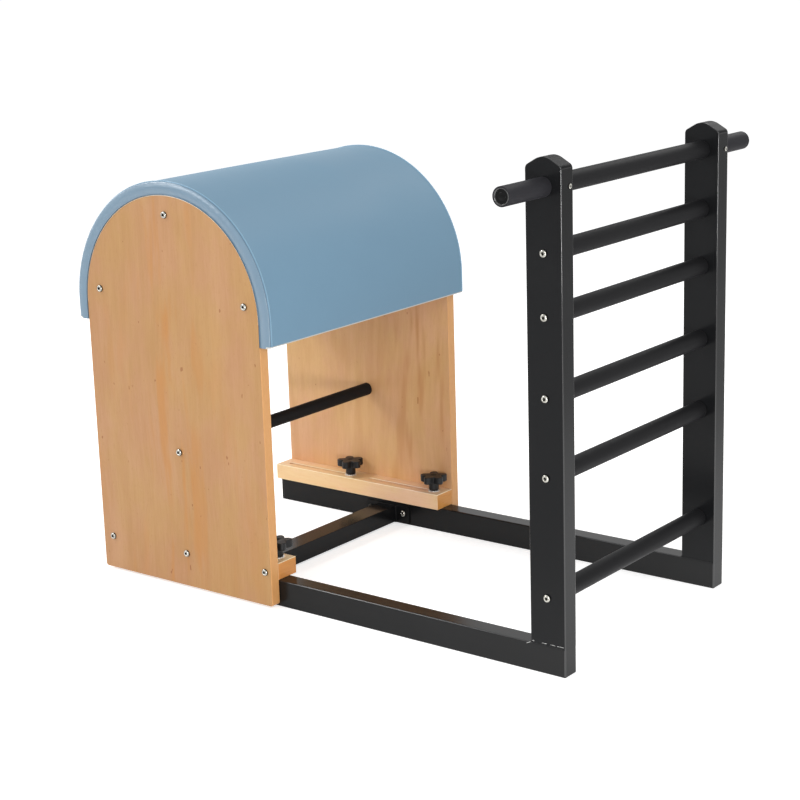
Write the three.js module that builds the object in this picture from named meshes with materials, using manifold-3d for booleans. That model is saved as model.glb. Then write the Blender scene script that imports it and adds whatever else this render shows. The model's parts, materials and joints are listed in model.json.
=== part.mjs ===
// Pilates ladder barrel: a welded ladder frame, and a padded barrel that slides and clamps on its rails.
// Units are millimetres. +X points from the barrel to the ladder, +Y to the user's left, +Z up.
// The origin lies on the floor below the middle of the whole object.

import * as THREE from 'three';
import { mergeVertices } from 'three/addons/utils/BufferGeometryUtils.js';
import Module from 'manifold-3d';

const wasm = await Module();
wasm.setup();

// Fits between pieces
const seatGap = 0.3;
const slideGap = 1;
const overrun = 5;

// Smoothness of round forms
const roundSteps = 20;
const smallSteps = 10;
const cornerSteps = 2;
const edgeSteps = 3;
const gableSteps = 6;
const lobeSteps = 6;
const archSteps = 32;
const hexagonSteps = 6;

// Base rails: rectangular tube, standing on its narrow side
const frameWidth = 640;
const railLength = 1242;
const railWidth = 40;
const railHeight = 60;
const railEndWall = 3;

// Tube stock shared by rails and uprights
const tubeWall = 2.5;
const tubeCorner = 2;

// Plastic plug in the barrel end of each rail
const plugFlange = 3;
const plugDepth = 22;
const plugWall = 3;

// Ladder uprights: tube with a gabled, rounded top, welded onto the rails
const uprightDepth = 80;
const uprightWidth = 40;
const uprightTop = 1015;
const gableRise = 23;
const gableRadius = 37;
const shoulderRadius = 10;
const weldBead = 4;

// Rungs, counted from the top bar down
const rungDiameter = 38.1;
const rungWall = 2;
const rungEndDisc = 8;
const topBarDrop = 55.4;
const topPitch = 123.8;
const closePitch = 121.4;
const widePitch = 156.7;
const bottomPitch = 242.6;

// Top bar, which runs through both uprights and makes the two side handles
const barDiameter = 38.1;
const barWall = 2;
const barLength = 912;
const barPlugDepth = 14;
const barPlugRecess = 2;
const barPlugRim = 3;
const barPlugSlope = 2;

// Small screw that locks the top bar in each upright
const screwDiameter = 6;
const screwHeadDiameter = 10.5;
const screwHeadHeight = 2.1;
const screwHeadRim = 0.7;
const screwHeadFlat = 7;
const screwOffset = 9;
const screwBite = 3;

// Button-head bolts
const boltDiameter = 8;
const boltHeadDiameter = 15.5;
const boltHeadHeight = 4.4;
const boltHeadRim = 1.2;
const boltHeadFlat = 9;
const socketAcross = 5;
const socketDepth = 2.8;
const boltBite = 20;
const nutDiameter = 12;
const nutLength = 12;

// Cross member between the rails, with a bolting plate welded to each end
const crossBack = 900;
const crossWidth = 54;
const crossHeight = 41;
const crossTop = 45;
const crossWall = 2.5;
const crossCorner = 2;
const crossPlateLength = 134;
const crossPlateHeight = 44;
const crossPlateThickness = 4;
const crossPlateCorner = 5;
const crossPlateLift = 3;
const crossBoltSpacing = 100;
const crossBoltHeight = 29;
const crossVentDiameter = 16;

// Barrel end panels: plywood with an arched top
const barrelBack = 989;
const archRadius = 256;
const archCentreHeight = 631;
const panelThickness = 25;
const panelLift = 6;
const panelCorner = 6;

// Bent shell and the three stringers under the pad
const shellThickness = 9;
const shellShort = 3;
const stringerDepth = 60;
const stringerWidth = 40;
const stringerTilt = THREE.MathUtils.degToRad(9);
const stringerBoltRadii = [219.5, 213.3, 215];

// Foam pad and its sewn cover
const padThickness = 28;
const padEdge = 6;
const padCrown = 1.5;
const padOverhang = 1.5;
const hemRadius = 3;
const frontDrop = 49;
const backDrop = 40;
const coverThickness = 1.2;

// Spreader bar between the panels
const spreaderDiameter = 30.5;
const spreaderWall = 2;
const spreaderHeight = 317;
const spreaderShift = 3;

// Slotted cleats that rest on the rails and carry the panels
const cleatWidth = 59;
const cleatHeight = 38;
const cleatShort = 1;
const cleatCorner = 2;
const cleatBoltHeight = 83;
const cleatBoltSpacing = 232;
const cleatBoltShift = 7.5;

// Clamping slots, and the star knobs that pass through them into the rails
const slideTravel = 195;
const slotWidth = 10;
const slotReach = 226.5;
const knobSpacing = 258;
const knobInset = 34;
const studDiameter = 8;
const studEngagement = 12;
const washerDiameter = 28;
const washerThickness = 2.5;
const hubDiameter = 24;
const hubLength = 20;
const headDiameter = 66;
const headHeight = 17;
const headBevel = 1.5;
const headLobes = 5;
const lobeRadius = 10;
const valleyRadius = 20;
const dimpleDiameter = 17;
const dimpleDepth = 3;

// Places that follow from the sizes above
const screwStandout = seatGap + screwHeadHeight;
const overallLength = barrelBack + archRadius + padThickness + screwStandout;
const ladderFace = overallLength / 2 - screwStandout;
const uprightX = ladderFace - uprightDepth / 2;
const barrelX = ladderFace - barrelBack;
const railStart = ladderFace - railLength;
const railY = frameWidth / 2 - railWidth / 2;
const uprightY = frameWidth / 2 - uprightWidth / 2;
const uprightInner = frameWidth / 2 - uprightWidth;
const uprightFoot = railHeight + seatGap;
const railInner = frameWidth / 2 - railWidth;
const panelInner = frameWidth / 2 + slideGap;
const panelOuter = panelInner + panelThickness;
const cleatBottom = railHeight + seatGap;
const cleatTop = cleatBottom + cleatHeight;
const cleatOuter = panelInner - seatGap;
const cleatY = cleatOuter - cleatWidth / 2;
const slotY = panelInner - knobInset;
const crossX = ladderFace - crossBack;
const crossPlateMiddle = crossPlateLift + crossPlateHeight / 2;
const crossBoltXs = [crossX - crossBoltSpacing / 2, crossX + crossBoltSpacing / 2];
const knobXs = [barrelX + slotReach - knobSpacing, barrelX + slotReach];
const topBarHeight = uprightTop - topBarDrop;
const rungPitches = [topPitch, closePitch, widePitch, widePitch, bottomPitch];
const rungDrops = rungPitches.map((_, i) => rungPitches.slice(0, i + 1).reduce((a, b) => a + b));
const rungHeights = rungDrops.map((drop) => topBarHeight - drop);

const sides = [{ name: 'left', sign: 1 }, { name: 'right', sign: -1 }];

// Finishes
const blackPaint = new THREE.MeshStandardMaterial({ color: 0x2f3133, roughness: 0.55, metalness: 0.2 });
const birchPly = new THREE.MeshStandardMaterial({ color: 0xd9a86c, roughness: 0.5, metalness: 0 });
const paleWood = new THREE.MeshStandardMaterial({ color: 0xe2b583, roughness: 0.55, metalness: 0 });
const blueVinyl = new THREE.MeshStandardMaterial({ color: 0x7d9ab0, roughness: 0.45, metalness: 0 });
const foamRubber = new THREE.MeshStandardMaterial({ color: 0xd8d2c0, roughness: 0.9, metalness: 0 });
const zincSteel = new THREE.MeshStandardMaterial({ color: 0xc4c6c8, roughness: 0.3, metalness: 0.9 });
const blackPlastic = new THREE.MeshStandardMaterial({ color: 0x232426, roughness: 0.5, metalness: 0 });

// Geometry with shared corners and no triangle of zero area, ready for a boolean or for export
function welded(geometry) {
  const bare = geometry.clone();
  for (const name of ['normal', 'uv']) {
    if (bare.hasAttribute(name)) bare.deleteAttribute(name);
  }
  const merged = mergeVertices(bare);
  const kept = [];
  const index = merged.index.array;
  for (let i = 0; i < index.length; i += 3) {
    const [a, b, c] = index.slice(i, i + 3);
    if (a !== b && b !== c && c !== a) kept.push(a, b, c);
  }
  merged.setIndex(kept);
  return merged;
}

// Solid from a closed geometry
function solid(geometry) {
  const tidy = welded(geometry);
  return new wasm.Manifold(new wasm.Mesh({
    numProp: 3,
    vertProperties: new Float32Array(tidy.attributes.position.array),
    triVerts: new Uint32Array(tidy.index.array),
  }));
}

// Geometry from a solid
function geometryOf(body) {
  const mesh = body.getMesh();
  const geometry = new THREE.BufferGeometry();
  geometry.setAttribute('position', new THREE.BufferAttribute(new Float32Array(mesh.vertProperties), 3));
  geometry.setIndex(new THREE.BufferAttribute(new Uint32Array(mesh.triVerts), 1));
  return geometry;
}

// One base geometry with others joined on and others cut away
function shaped(base, { add = [], cut = [] }) {
  let body = solid(base);
  for (const extra of add) body = body.add(solid(extra));
  for (const tool of cut) body = body.subtract(solid(tool));
  return geometryOf(body);
}

// Points along an arc, both ends included
function arcPoints(x, y, radius, from, to, steps) {
  return Array.from({ length: steps + 1 }, (_, i) => {
    const angle = from + (to - from) * i / steps;
    return new THREE.Vector2(x + radius * Math.cos(angle), y + radius * Math.sin(angle));
  });
}

// Counter-clockwise outline whose corners [x, y, radius] are rounded by arcs
function roundedOutline(corners, steps = cornerSteps) {
  return corners.flatMap(([x, y, radius], i) => {
    const corner = new THREE.Vector2(x, y);
    if (radius <= 0) return [corner];
    const before = new THREE.Vector2(...corners.at(i - 1)).sub(corner).normalize();
    const after = new THREE.Vector2(...corners[(i + 1) % corners.length]).sub(corner).normalize();
    const half = Math.acos(before.dot(after)) / 2;
    const centre = before.clone().add(after).normalize().multiplyScalar(radius / Math.sin(half)).add(corner);
    const sweep = Math.PI - 2 * half;
    const start = after.clone().rotateAround(new THREE.Vector2(), -Math.PI / 2).angle() - sweep;
    return arcPoints(centre.x, centre.y, radius, start, start + sweep, steps);
  });
}

// Outline of a rectangle centred on its own middle, with rounded corners
function rectangle(width, height, radius) {
  const x = width / 2;
  const y = height / 2;
  return roundedOutline([[-x, -y, radius], [x, -y, radius], [x, y, radius], [-x, y, radius]]);
}

// Prism of an outline, from 0 to its depth along Z
function prism(outline, depth) {
  return new THREE.ExtrudeGeometry(new THREE.Shape(outline), { depth, bevelEnabled: false });
}

// Prism whose outline stands in the YZ plane, from 0 to its length along X
function prismAlongX(outline, length) {
  const turn = new THREE.Matrix4().makeBasis(
    new THREE.Vector3(0, 1, 0), new THREE.Vector3(0, 0, 1), new THREE.Vector3(1, 0, 0));
  return prism(outline, length).applyMatrix4(turn);
}

// Prism whose outline stands in the XZ plane, centred on Y = 0
function prismAcross(outline, width) {
  return prism(outline, width).translate(0, 0, -width / 2).rotateX(Math.PI / 2);
}

// Round bars about each axis, centred on their own middle
function barAlongY(diameter, length, steps = smallSteps) {
  return new THREE.CylinderGeometry(diameter / 2, diameter / 2, length, steps);
}

function barAlongX(diameter, length, steps = smallSteps) {
  return barAlongY(diameter, length, steps).rotateZ(Math.PI / 2);
}

function barAlongZ(diameter, length, steps = smallSteps) {
  return barAlongY(diameter, length, steps).rotateX(Math.PI / 2);
}

// Body turned about Y from its profile of [radius, y] points; a ring's profile ends where it starts
function turned(profile, steps) {
  return new THREE.LatheGeometry(profile.map(([r, y]) => new THREE.Vector2(r, y)), steps);
}

// Named mesh at its place
function piece(name, geometry, material, x = 0, y = 0, z = 0) {
  const finished = welded(geometry);
  finished.computeVertexNormals();
  const mesh = new THREE.Mesh(finished, material);
  mesh.name = name;
  mesh.position.set(x, y, z);
  return mesh;
}

// Rail tube: open at the barrel end, closed at the ladder, with bosses for the knobs and the cross bolts
function railGeometry(sign) {
  const middle = railHeight / 2;
  const bore = rectangle(railWidth - 2 * tubeWall, railHeight - 2 * tubeWall, tubeCorner - tubeWall);
  const base = shaped(prismAlongX(rectangle(railWidth, railHeight, tubeCorner), railLength), {
    cut: [prismAlongX(bore, railLength - railEndWall + overrun).translate(-overrun, 0, 0)],
  });
  const knobPlaces = knobXs.map((x) => [x - railStart, sign * (slotY - railY)]);
  const crossPlaces = crossBoltXs.map((x) => x - railStart);
  const nutTop = middle - tubeWall / 2;
  const nutInner = -sign * (railWidth / 2 - tubeWall / 2);
  const holeDiameter = boltDiameter + 2 * seatGap;
  const studHole = studDiameter + 2 * seatGap;
  const nutReach = nutLength + overrun;
  return shaped(base, {
    add: [
      ...knobPlaces.map(([x, y]) => barAlongZ(nutDiameter, nutLength)
        .translate(x, y, nutTop - nutLength / 2)),
      ...crossPlaces.map((x) => barAlongY(nutDiameter, nutLength)
        .translate(x, nutInner + sign * nutLength / 2, crossBoltHeight - middle)),
    ],
    cut: [
      ...knobPlaces.map(([x, y]) => barAlongZ(studHole, 2 * nutReach).translate(x, y, nutTop)),
      ...crossPlaces.map((x) => barAlongY(holeDiameter, 2 * nutReach)
        .translate(x, nutInner, crossBoltHeight - middle)),
    ],
  });
}

// Moulded plug: a flange over the tube's end, and a hollow spigot inside it
function railPlugGeometry() {
  const spigotWidth = railWidth - 2 * (tubeWall + seatGap);
  const spigotHeight = railHeight - 2 * (tubeWall + seatGap);
  const spigot = rectangle(spigotWidth, spigotHeight, tubeCorner - tubeWall);
  const hollow = rectangle(spigotWidth - 2 * plugWall, spigotHeight - 2 * plugWall, tubeCorner - tubeWall);
  const spigotLength = plugDepth + seatGap;
  return shaped(prismAlongX(rectangle(railWidth, railHeight, tubeCorner), plugFlange), {
    add: [prismAlongX(spigot, plugFlange + spigotLength)],
    cut: [prismAlongX(hollow, spigotLength + overrun).translate(plugFlange, 0, 0)],
  });
}

// Gabled side outline of an upright, inset for its bore
function uprightOutline(inset, foot) {
  const half = uprightDepth / 2 - inset;
  const slope = Math.atan2(gableRise, uprightDepth / 2);
  const peakRadius = gableRadius - inset;
  const peak = uprightTop - inset + peakRadius * (1 / Math.cos(slope) - 1);
  const shoulder = peak - half * Math.tan(slope);
  return roundedOutline([
    [-half, foot, 0], [half, foot, 0],
    [half, shoulder, shoulderRadius - inset], [0, peak, peakRadius],
    [-half, shoulder, shoulderRadius - inset],
  ], gableSteps);
}

// Upright tube: gabled top, holes for the rungs, the top bar and its screw, and a weld bead at its foot
function uprightGeometry() {
  const height = uprightTop + gableRadius;
  const boreDepth = uprightDepth - 2 * tubeWall;
  const boreWidth = uprightWidth - 2 * tubeWall;
  const skin = solid(prism(rectangle(uprightDepth, uprightWidth, tubeCorner), height))
    .intersect(solid(prismAcross(uprightOutline(0, uprightFoot), uprightWidth + 2 * overrun)));
  const bore = solid(prism(rectangle(boreDepth, boreWidth, tubeCorner - tubeWall), height))
    .intersect(solid(prismAcross(uprightOutline(tubeWall, uprightFoot - overrun), uprightWidth)));
  const bead = [
    new THREE.Vector2(tubeWall / 2, 0), new THREE.Vector2(tubeWall / 2, weldBead),
    new THREE.Vector2(0, weldBead), new THREE.Vector2(-weldBead, 0),
  ];
  const beadLength = uprightWidth - 2 * tubeCorner;
  const rungHole = boltDiameter + 2 * seatGap;
  return shaped(geometryOf(skin.subtract(bore)), {
    add: [prismAcross(bead, beadLength).translate(-uprightDepth / 2, 0, uprightFoot)],
    cut: [
      ...rungHeights.map((z) => barAlongY(rungHole, uprightWidth + 2 * overrun).translate(0, 0, z)),
      barAlongY(barDiameter + 2 * seatGap, uprightWidth + 2 * overrun, roundSteps)
        .translate(0, 0, topBarHeight),
      barAlongX(screwDiameter + 2 * seatGap, 2 * (tubeWall + overrun))
        .translate(uprightDepth / 2, screwOffset, topBarHeight),
    ],
  });
}

// Round tube with a threaded disc in each end
function threadedTube(diameter, wall, length) {
  const outer = diameter / 2;
  const inner = outer - wall;
  const thread = boltDiameter / 2 + seatGap;
  const end = length / 2;
  const disc = end - rungEndDisc;
  return turned([
    [thread, -end], [outer, -end], [outer, end], [thread, end],
    [thread, disc], [inner, disc], [inner, -disc], [thread, -disc], [thread, -end],
  ], roundSteps);
}

// Open tube of the top bar, tapped for the two locking screws
function topBarGeometry() {
  const outer = barDiameter / 2;
  const inner = outer - barWall;
  const end = barLength / 2;
  const tube = turned([[inner, -end], [outer, -end], [outer, end], [inner, end], [inner, -end]], roundSteps);
  return shaped(tube, {
    cut: sides.map(({ sign }) => barAlongX(screwDiameter + 2 * seatGap, barDiameter)
      .translate(barDiameter / 2, sign * uprightY + screwOffset, 0)),
  });
}

// End plug of the top bar, facing +Y: a raised rim round a recessed face
function barPlugGeometry() {
  const outer = barDiameter / 2 - barWall - seatGap;
  const rim = outer - barPlugRim;
  return turned([
    [0, -barPlugDepth], [outer, -barPlugDepth], [outer, 0], [rim + barPlugSlope, 0],
    [rim, -barPlugRecess], [0, -barPlugRecess],
  ], roundSteps);
}

// Button-head bolt along Y, its head seat at 0 and its shank towards -Y
function boltGeometry(length) {
  const shank = boltDiameter / 2;
  const head = boltHeadDiameter / 2;
  const body = turned([
    [0, -length], [shank, -length], [shank, 0], [head, 0], [head, boltHeadRim],
    [boltHeadFlat / 2, boltHeadHeight], [0, boltHeadHeight],
  ], smallSteps);
  const socketRound = socketAcross / Math.cos(Math.PI / 6);
  return shaped(body, {
    cut: [barAlongY(socketRound, 2 * socketDepth, hexagonSteps).translate(0, boltHeadHeight, 0)],
  });
}

// Round-head screw along X, its head seat at 0 and its shank towards -X
function screwGeometry(length) {
  const shank = screwDiameter / 2;
  const head = screwHeadDiameter / 2;
  return turned([
    [0, -length], [shank, -length], [shank, 0], [head, 0], [head, screwHeadRim],
    [screwHeadFlat / 2, screwHeadHeight], [0, screwHeadHeight],
  ], smallSteps).rotateZ(-Math.PI / 2);
}

// Cross tube with its welded end plates, vented so that the tube isn't sealed
function crossGeometry() {
  const plateOuter = railInner - seatGap;
  const plateCentre = plateOuter - crossPlateThickness / 2;
  const tubeCentre = crossTop - crossHeight / 2;
  const length = 2 * (plateOuter - crossPlateThickness / 2);
  const outline = rectangle(crossWidth, crossHeight, crossCorner);
  const bore = rectangle(crossWidth - 2 * crossWall, crossHeight - 2 * crossWall, crossCorner - crossWall);
  const plate = rectangle(crossPlateLength, crossPlateHeight, crossPlateCorner);
  const boreLength = 2 * (plateOuter - crossPlateThickness);
  const boltHole = boltDiameter + 2 * seatGap;
  return shaped(prismAcross(outline, length).translate(0, 0, tubeCentre), {
    add: sides.map(({ sign }) => prismAcross(plate, crossPlateThickness)
      .translate(0, sign * plateCentre, crossPlateMiddle)),
    cut: [
      prismAcross(bore, boreLength).translate(0, 0, tubeCentre),
      ...sides.map(({ sign }) => barAlongY(crossVentDiameter, 2 * crossPlateThickness)
        .translate(0, sign * plateCentre, tubeCentre)),
      ...sides.flatMap(({ sign }) => [-1, 1].map((end) => barAlongY(boltHole, 2 * crossPlateThickness)
        .translate(end * crossBoltSpacing / 2, sign * plateCentre, crossBoltHeight))),
    ],
  });
}

// Bolt places on a panel, from the barrel's middle and the floor
const stringerAngles = [stringerTilt, Math.PI / 2, Math.PI - stringerTilt];
const panelBoltPlaces = [
  ...['front', 'top', 'back'].map((name, i) => ({
    name: `stringer_${name}`,
    x: stringerBoltRadii[i] * Math.cos(stringerAngles[i]),
    z: archCentreHeight + stringerBoltRadii[i] * Math.sin(stringerAngles[i]),
  })),
  { name: 'spreader', x: spreaderShift, z: spreaderHeight },
  ...['back', 'middle', 'front'].map((name, i) => ({
    name: `cleat_${name}`,
    x: cleatBoltShift + (i - 1) * cleatBoltSpacing,
    z: cleatBoltHeight,
  })),
];

// Arched plywood panel with its bolt holes
function panelGeometry() {
  const foot = roundedOutline([
    [archRadius, archCentreHeight, 0], [-archRadius, archCentreHeight, 0],
    [-archRadius, panelLift, panelCorner], [archRadius, panelLift, panelCorner],
  ]).slice(2);
  const outline = [...arcPoints(0, archCentreHeight, archRadius, 0, Math.PI, archSteps), ...foot];
  const hole = boltDiameter + 2 * seatGap;
  return shaped(prismAcross(outline, panelThickness), {
    cut: panelBoltPlaces.map(({ x, z }) => barAlongY(hole, panelThickness + 2 * overrun).translate(x, 0, z)),
  });
}

// Bent plywood shell under the foam, about the arch's centre
function shellGeometry() {
  const outer = archRadius;
  const inner = archRadius - shellThickness;
  const frontFoot = shellShort - frontDrop;
  const backFoot = shellShort - backDrop;
  const outline = [
    new THREE.Vector2(outer, frontFoot),
    ...arcPoints(0, 0, outer, 0, Math.PI, archSteps),
    new THREE.Vector2(-outer, backFoot),
    new THREE.Vector2(-inner, backFoot),
    ...arcPoints(0, 0, inner, Math.PI, 0, archSteps),
    new THREE.Vector2(inner, frontFoot),
  ];
  return prismAcross(outline, 2 * (panelInner - seatGap));
}

// Stringer along Y, lying under the shell at +Z, with its outer face planed to the shell's curve
function stringerGeometry(boltRadius) {
  const outer = archRadius - shellThickness - seatGap;
  const inner = outer - stringerDepth;
  const halfAngle = Math.asin(stringerWidth / 2 / outer);
  const outline = [
    ...arcPoints(0, 0, outer, Math.PI / 2 - halfAngle, Math.PI / 2 + halfAngle, edgeSteps),
    new THREE.Vector2(-stringerWidth / 2, inner),
    new THREE.Vector2(stringerWidth / 2, inner),
  ];
  const end = panelInner - seatGap;
  const boreLength = boltBite + seatGap;
  return shaped(prismAcross(outline, 2 * end), {
    cut: sides.map(({ sign }) => barAlongY(boltDiameter + 2 * seatGap, 2 * boreLength)
      .translate(0, sign * end, boltRadius)),
  });
}

// Section of the pad in [across, outward]: crowned top, rounded shoulders, sides just past the panels
function padSection(inset, base) {
  const half = panelOuter + padOverhang - inset;
  const top = padThickness - seatGap - inset;
  const shoulder = top - padCrown;
  const radius = padEdge - inset;
  const crownShares = [0.55, 0, -0.55];
  return [
    new THREE.Vector2(-half, base),
    new THREE.Vector2(half, base),
    ...arcPoints(half - radius, shoulder - radius, radius, 0, Math.PI / 2, edgeSteps),
    ...crownShares.map((share) => new THREE.Vector2(share * half, top - padCrown * share * share)),
    ...arcPoints(radius - half, shoulder - radius, radius, Math.PI / 2, Math.PI, edgeSteps),
  ];
}

// Stations along the pad's arch: a straight skirt, the half circle, a shorter skirt, with rounded hems
function padStations(inset) {
  const radius = hemRadius - inset;
  const seat = archRadius + seatGap;
  const edgeAngles = Array.from({ length: edgeSteps + 1 }, (_, i) => Math.PI / 2 * i / edgeSteps);
  const skirt = (drop, side) => edgeAngles.map((angle) => ({
    x: side * seat,
    z: inset - drop + radius * (1 - Math.cos(angle)),
    nx: side,
    nz: 0,
    pull: radius * (1 - Math.sin(angle)),
  }));
  const arch = arcPoints(0, 0, 1, 0, Math.PI, archSteps)
    .map((unit) => ({ x: seat * unit.x, z: seat * unit.y, nx: unit.x, nz: unit.y, pull: 0 }));
  return [...skirt(frontDrop, 1), ...arch, ...skirt(backDrop, -1).reverse()];
}

// Closed body swept along the arch from a section with an inset and a base level
function padBody(inset, base) {
  const section = padSection(inset, base);
  const stations = padStations(inset);
  const top = padThickness - seatGap - inset;
  const count = section.length;
  const positions = stations.flatMap(({ x, z, nx, nz, pull }) => section.flatMap((point) => {
    const height = point.y > 0 ? point.y * (1 - pull / top) : point.y;
    return [x + nx * height, point.x, z + nz * height];
  }));
  const caps = THREE.ShapeUtils.triangulateShape(section, []);
  const last = (stations.length - 1) * count;
  const triangles = [];
  for (const [a, b, c] of caps) triangles.push(a, b, c, last + a, last + c, last + b);
  for (let s = 0; s < last; s += count) {
    for (let i = 0; i < count; i += 1) {
      const j = (i + 1) % count;
      triangles.push(s + i, s + count + i, s + j, s + j, s + count + i, s + count + j);
    }
  }
  const geometry = new THREE.BufferGeometry();
  geometry.setAttribute('position', new THREE.BufferAttribute(new Float32Array(positions), 3));
  geometry.setIndex(triangles);
  return geometry;
}

// Sewn cover: the pad's skin, open towards the shell, with hems under the skirts
function coverGeometry() {
  return shaped(padBody(0, 0), { cut: [padBody(coverThickness, -overrun)] });
}

// Slotted cleat for one side, its middle on X = 0 and its underside on Z = 0
function cleatGeometry(sign) {
  const half = archRadius - cleatShort;
  const outline = roundedOutline([
    [-cleatWidth / 2, 0, 0], [cleatWidth / 2, 0, 0],
    [cleatWidth / 2, cleatHeight, cleatCorner], [-cleatWidth / 2, cleatHeight, cleatCorner],
  ]);
  const slotLength = slideTravel + slotWidth;
  const slot = rectangle(slotLength, slotWidth, slotWidth / 2 - seatGap);
  const slotXs = [slotReach - slideTravel / 2, slotReach - slideTravel / 2 - knobSpacing];
  const boreLength = boltBite + seatGap;
  return shaped(prismAlongX(outline, 2 * half).translate(-half, 0, 0), {
    cut: [
      ...slotXs.map((x) => prism(slot, cleatHeight + 2 * overrun)
        .translate(x, sign * (slotY - cleatY), -overrun)),
      ...panelBoltPlaces.filter(({ name }) => name.startsWith('cleat')).map(({ x, z }) =>
        barAlongY(boltDiameter + 2 * seatGap, 2 * boreLength)
          .translate(x, sign * cleatWidth / 2, z - cleatBottom)),
    ],
  });
}

// Lobed outline of a knob's head
function starOutline() {
  const lobeCentre = headDiameter / 2 - headBevel - lobeRadius;
  const pitch = 2 * Math.PI / headLobes;
  const flank = Math.PI / 2;
  return Array.from({ length: headLobes }, (_, i) => i * pitch).flatMap((angle) => [
    ...arcPoints(lobeCentre * Math.cos(angle), lobeCentre * Math.sin(angle), lobeRadius,
      angle - flank, angle + flank, lobeSteps),
    new THREE.Vector2((valleyRadius - headBevel) * Math.cos(angle + pitch / 2),
      (valleyRadius - headBevel) * Math.sin(angle + pitch / 2)),
  ]);
}

// Star knob along Z with its captive washer and threaded stud, its washer's underside on Z = 0
function knobGeometry() {
  const hubTop = washerThickness + hubLength;
  const headTop = hubTop + headHeight;
  const studBottom = -(cleatHeight + 2 * seatGap + tubeWall + studEngagement);
  const head = new THREE.ExtrudeGeometry(new THREE.Shape(starOutline()), {
    depth: headHeight - 2 * headBevel, bevelThickness: headBevel, bevelSize: headBevel, bevelSegments: 1,
  }).translate(0, 0, hubTop + headBevel);
  const studLength = washerThickness - studBottom;
  const dimple = new THREE.ConeGeometry(dimpleDiameter, 2 * dimpleDepth, 2 * smallSteps)
    .rotateX(-Math.PI / 2).translate(0, 0, headTop);
  return shaped(head, {
    add: [
      barAlongZ(hubDiameter, hubLength + headBevel, 2 * smallSteps)
        .translate(0, 0, washerThickness + (hubLength + headBevel) / 2),
      barAlongZ(washerDiameter, washerThickness, 2 * smallSteps).translate(0, 0, washerThickness / 2),
      barAlongZ(studDiameter, studLength).translate(0, 0, studBottom + studLength / 2),
    ],
    cut: [dimple],
  });
}

// Base frame: rails with their plugs, and the bolted cross member
function makeBase() {
  const base = new THREE.Group();
  for (const { name, sign } of sides) {
    base.add(piece(`base_rail_${name}`, railGeometry(sign), blackPaint,
      railStart, sign * railY, railHeight / 2));
    base.add(piece(`rail_end_plug_${name}`, railPlugGeometry(), blackPlastic,
      railStart - plugFlange - seatGap, sign * railY, railHeight / 2));
    const boltFace = railInner - seatGap - crossPlateThickness - seatGap;
    crossBoltXs.forEach((x, i) => {
      const length = crossPlateThickness + 2 * seatGap + nutLength;
      const bolt = piece(`cross_bolt_${name}_${i + 1}`, boltGeometry(length), zincSteel,
        x, sign * boltFace, crossBoltHeight);
      bolt.rotation.z = sign > 0 ? Math.PI : 0;
      base.add(bolt);
    });
  }
  base.add(piece('cross_member', crossGeometry(), blackPaint, crossX));
  return base;
}

// Ladder: uprights, bolted rungs, and the top bar with its plugs and locking screws
function makeLadder() {
  const ladder = new THREE.Group();
  ladder.position.x = uprightX;
  const rungLength = 2 * (uprightInner - seatGap);
  const boltLength = uprightWidth + 2 * seatGap + boltBite;
  for (const { name, sign } of sides) {
    ladder.add(piece(`ladder_upright_${name}`, uprightGeometry(), blackPaint, 0, sign * uprightY));
    rungHeights.forEach((z, i) => {
      const bolt = piece(`rung_bolt_${name}_${i + 1}`, boltGeometry(boltLength), zincSteel,
        0, sign * (frameWidth / 2 + seatGap), z);
      bolt.rotation.z = sign > 0 ? 0 : Math.PI;
      ladder.add(bolt);
    });
    const plug = piece(`top_bar_plug_${name}`, barPlugGeometry(), blackPlastic,
      0, sign * barLength / 2, topBarHeight);
    plug.rotation.z = sign > 0 ? 0 : Math.PI;
    ladder.add(plug);
    const screwLength = seatGap + uprightDepth / 2 - barDiameter / 2 + barWall + screwBite;
    ladder.add(piece(`top_bar_screw_${name}`, screwGeometry(screwLength), zincSteel,
      uprightDepth / 2 + seatGap, sign * uprightY + screwOffset, topBarHeight));
  }
  rungHeights.forEach((z, i) => {
    ladder.add(piece(`rung_${i + 1}`, threadedTube(rungDiameter, rungWall, rungLength), blackPaint, 0, 0, z));
  });
  ladder.add(piece('top_bar', topBarGeometry(), blackPaint, 0, 0, topBarHeight));
  return ladder;
}

// Barrel: panels, shell, stringers, pad, spreader and cleats
function makeBarrel() {
  const barrel = new THREE.Group();
  barrel.position.x = barrelX;
  for (const { name, sign } of sides) {
    const panelY = sign * (panelInner + panelThickness / 2);
    barrel.add(piece(`end_panel_${name}`, panelGeometry(), birchPly, 0, panelY));
    barrel.add(piece(`cleat_${name}`, cleatGeometry(sign), paleWood, 0, sign * cleatY, cleatBottom));
    const boltLength = panelThickness + 2 * seatGap + boltBite;
    for (const place of panelBoltPlaces) {
      const bolt = piece(`panel_bolt_${name}_${place.name}`, boltGeometry(boltLength), zincSteel,
        place.x, sign * (panelOuter + seatGap), place.z);
      bolt.rotation.z = sign > 0 ? 0 : Math.PI;
      barrel.add(bolt);
    }
  }
  ['front', 'top', 'back'].forEach((name, i) => {
    const stringer = piece(`stringer_${name}`, stringerGeometry(stringerBoltRadii[i]), paleWood,
      0, 0, archCentreHeight);
    stringer.rotation.y = Math.PI / 2 - stringerAngles[i];
    barrel.add(stringer);
  });
  const spreaderLength = 2 * (panelInner - seatGap);
  barrel.add(piece('spreader_bar', threadedTube(spreaderDiameter, spreaderWall, spreaderLength), blackPaint,
    spreaderShift, 0, spreaderHeight));
  barrel.add(piece('barrel_shell', shellGeometry(), birchPly, 0, 0, archCentreHeight));
  barrel.add(piece('foam_pad', padBody(coverThickness + seatGap, 0), foamRubber, 0, 0, archCentreHeight));
  barrel.add(piece('pad_cover', coverGeometry(), blueVinyl, 0, 0, archCentreHeight));
  return barrel;
}

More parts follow.
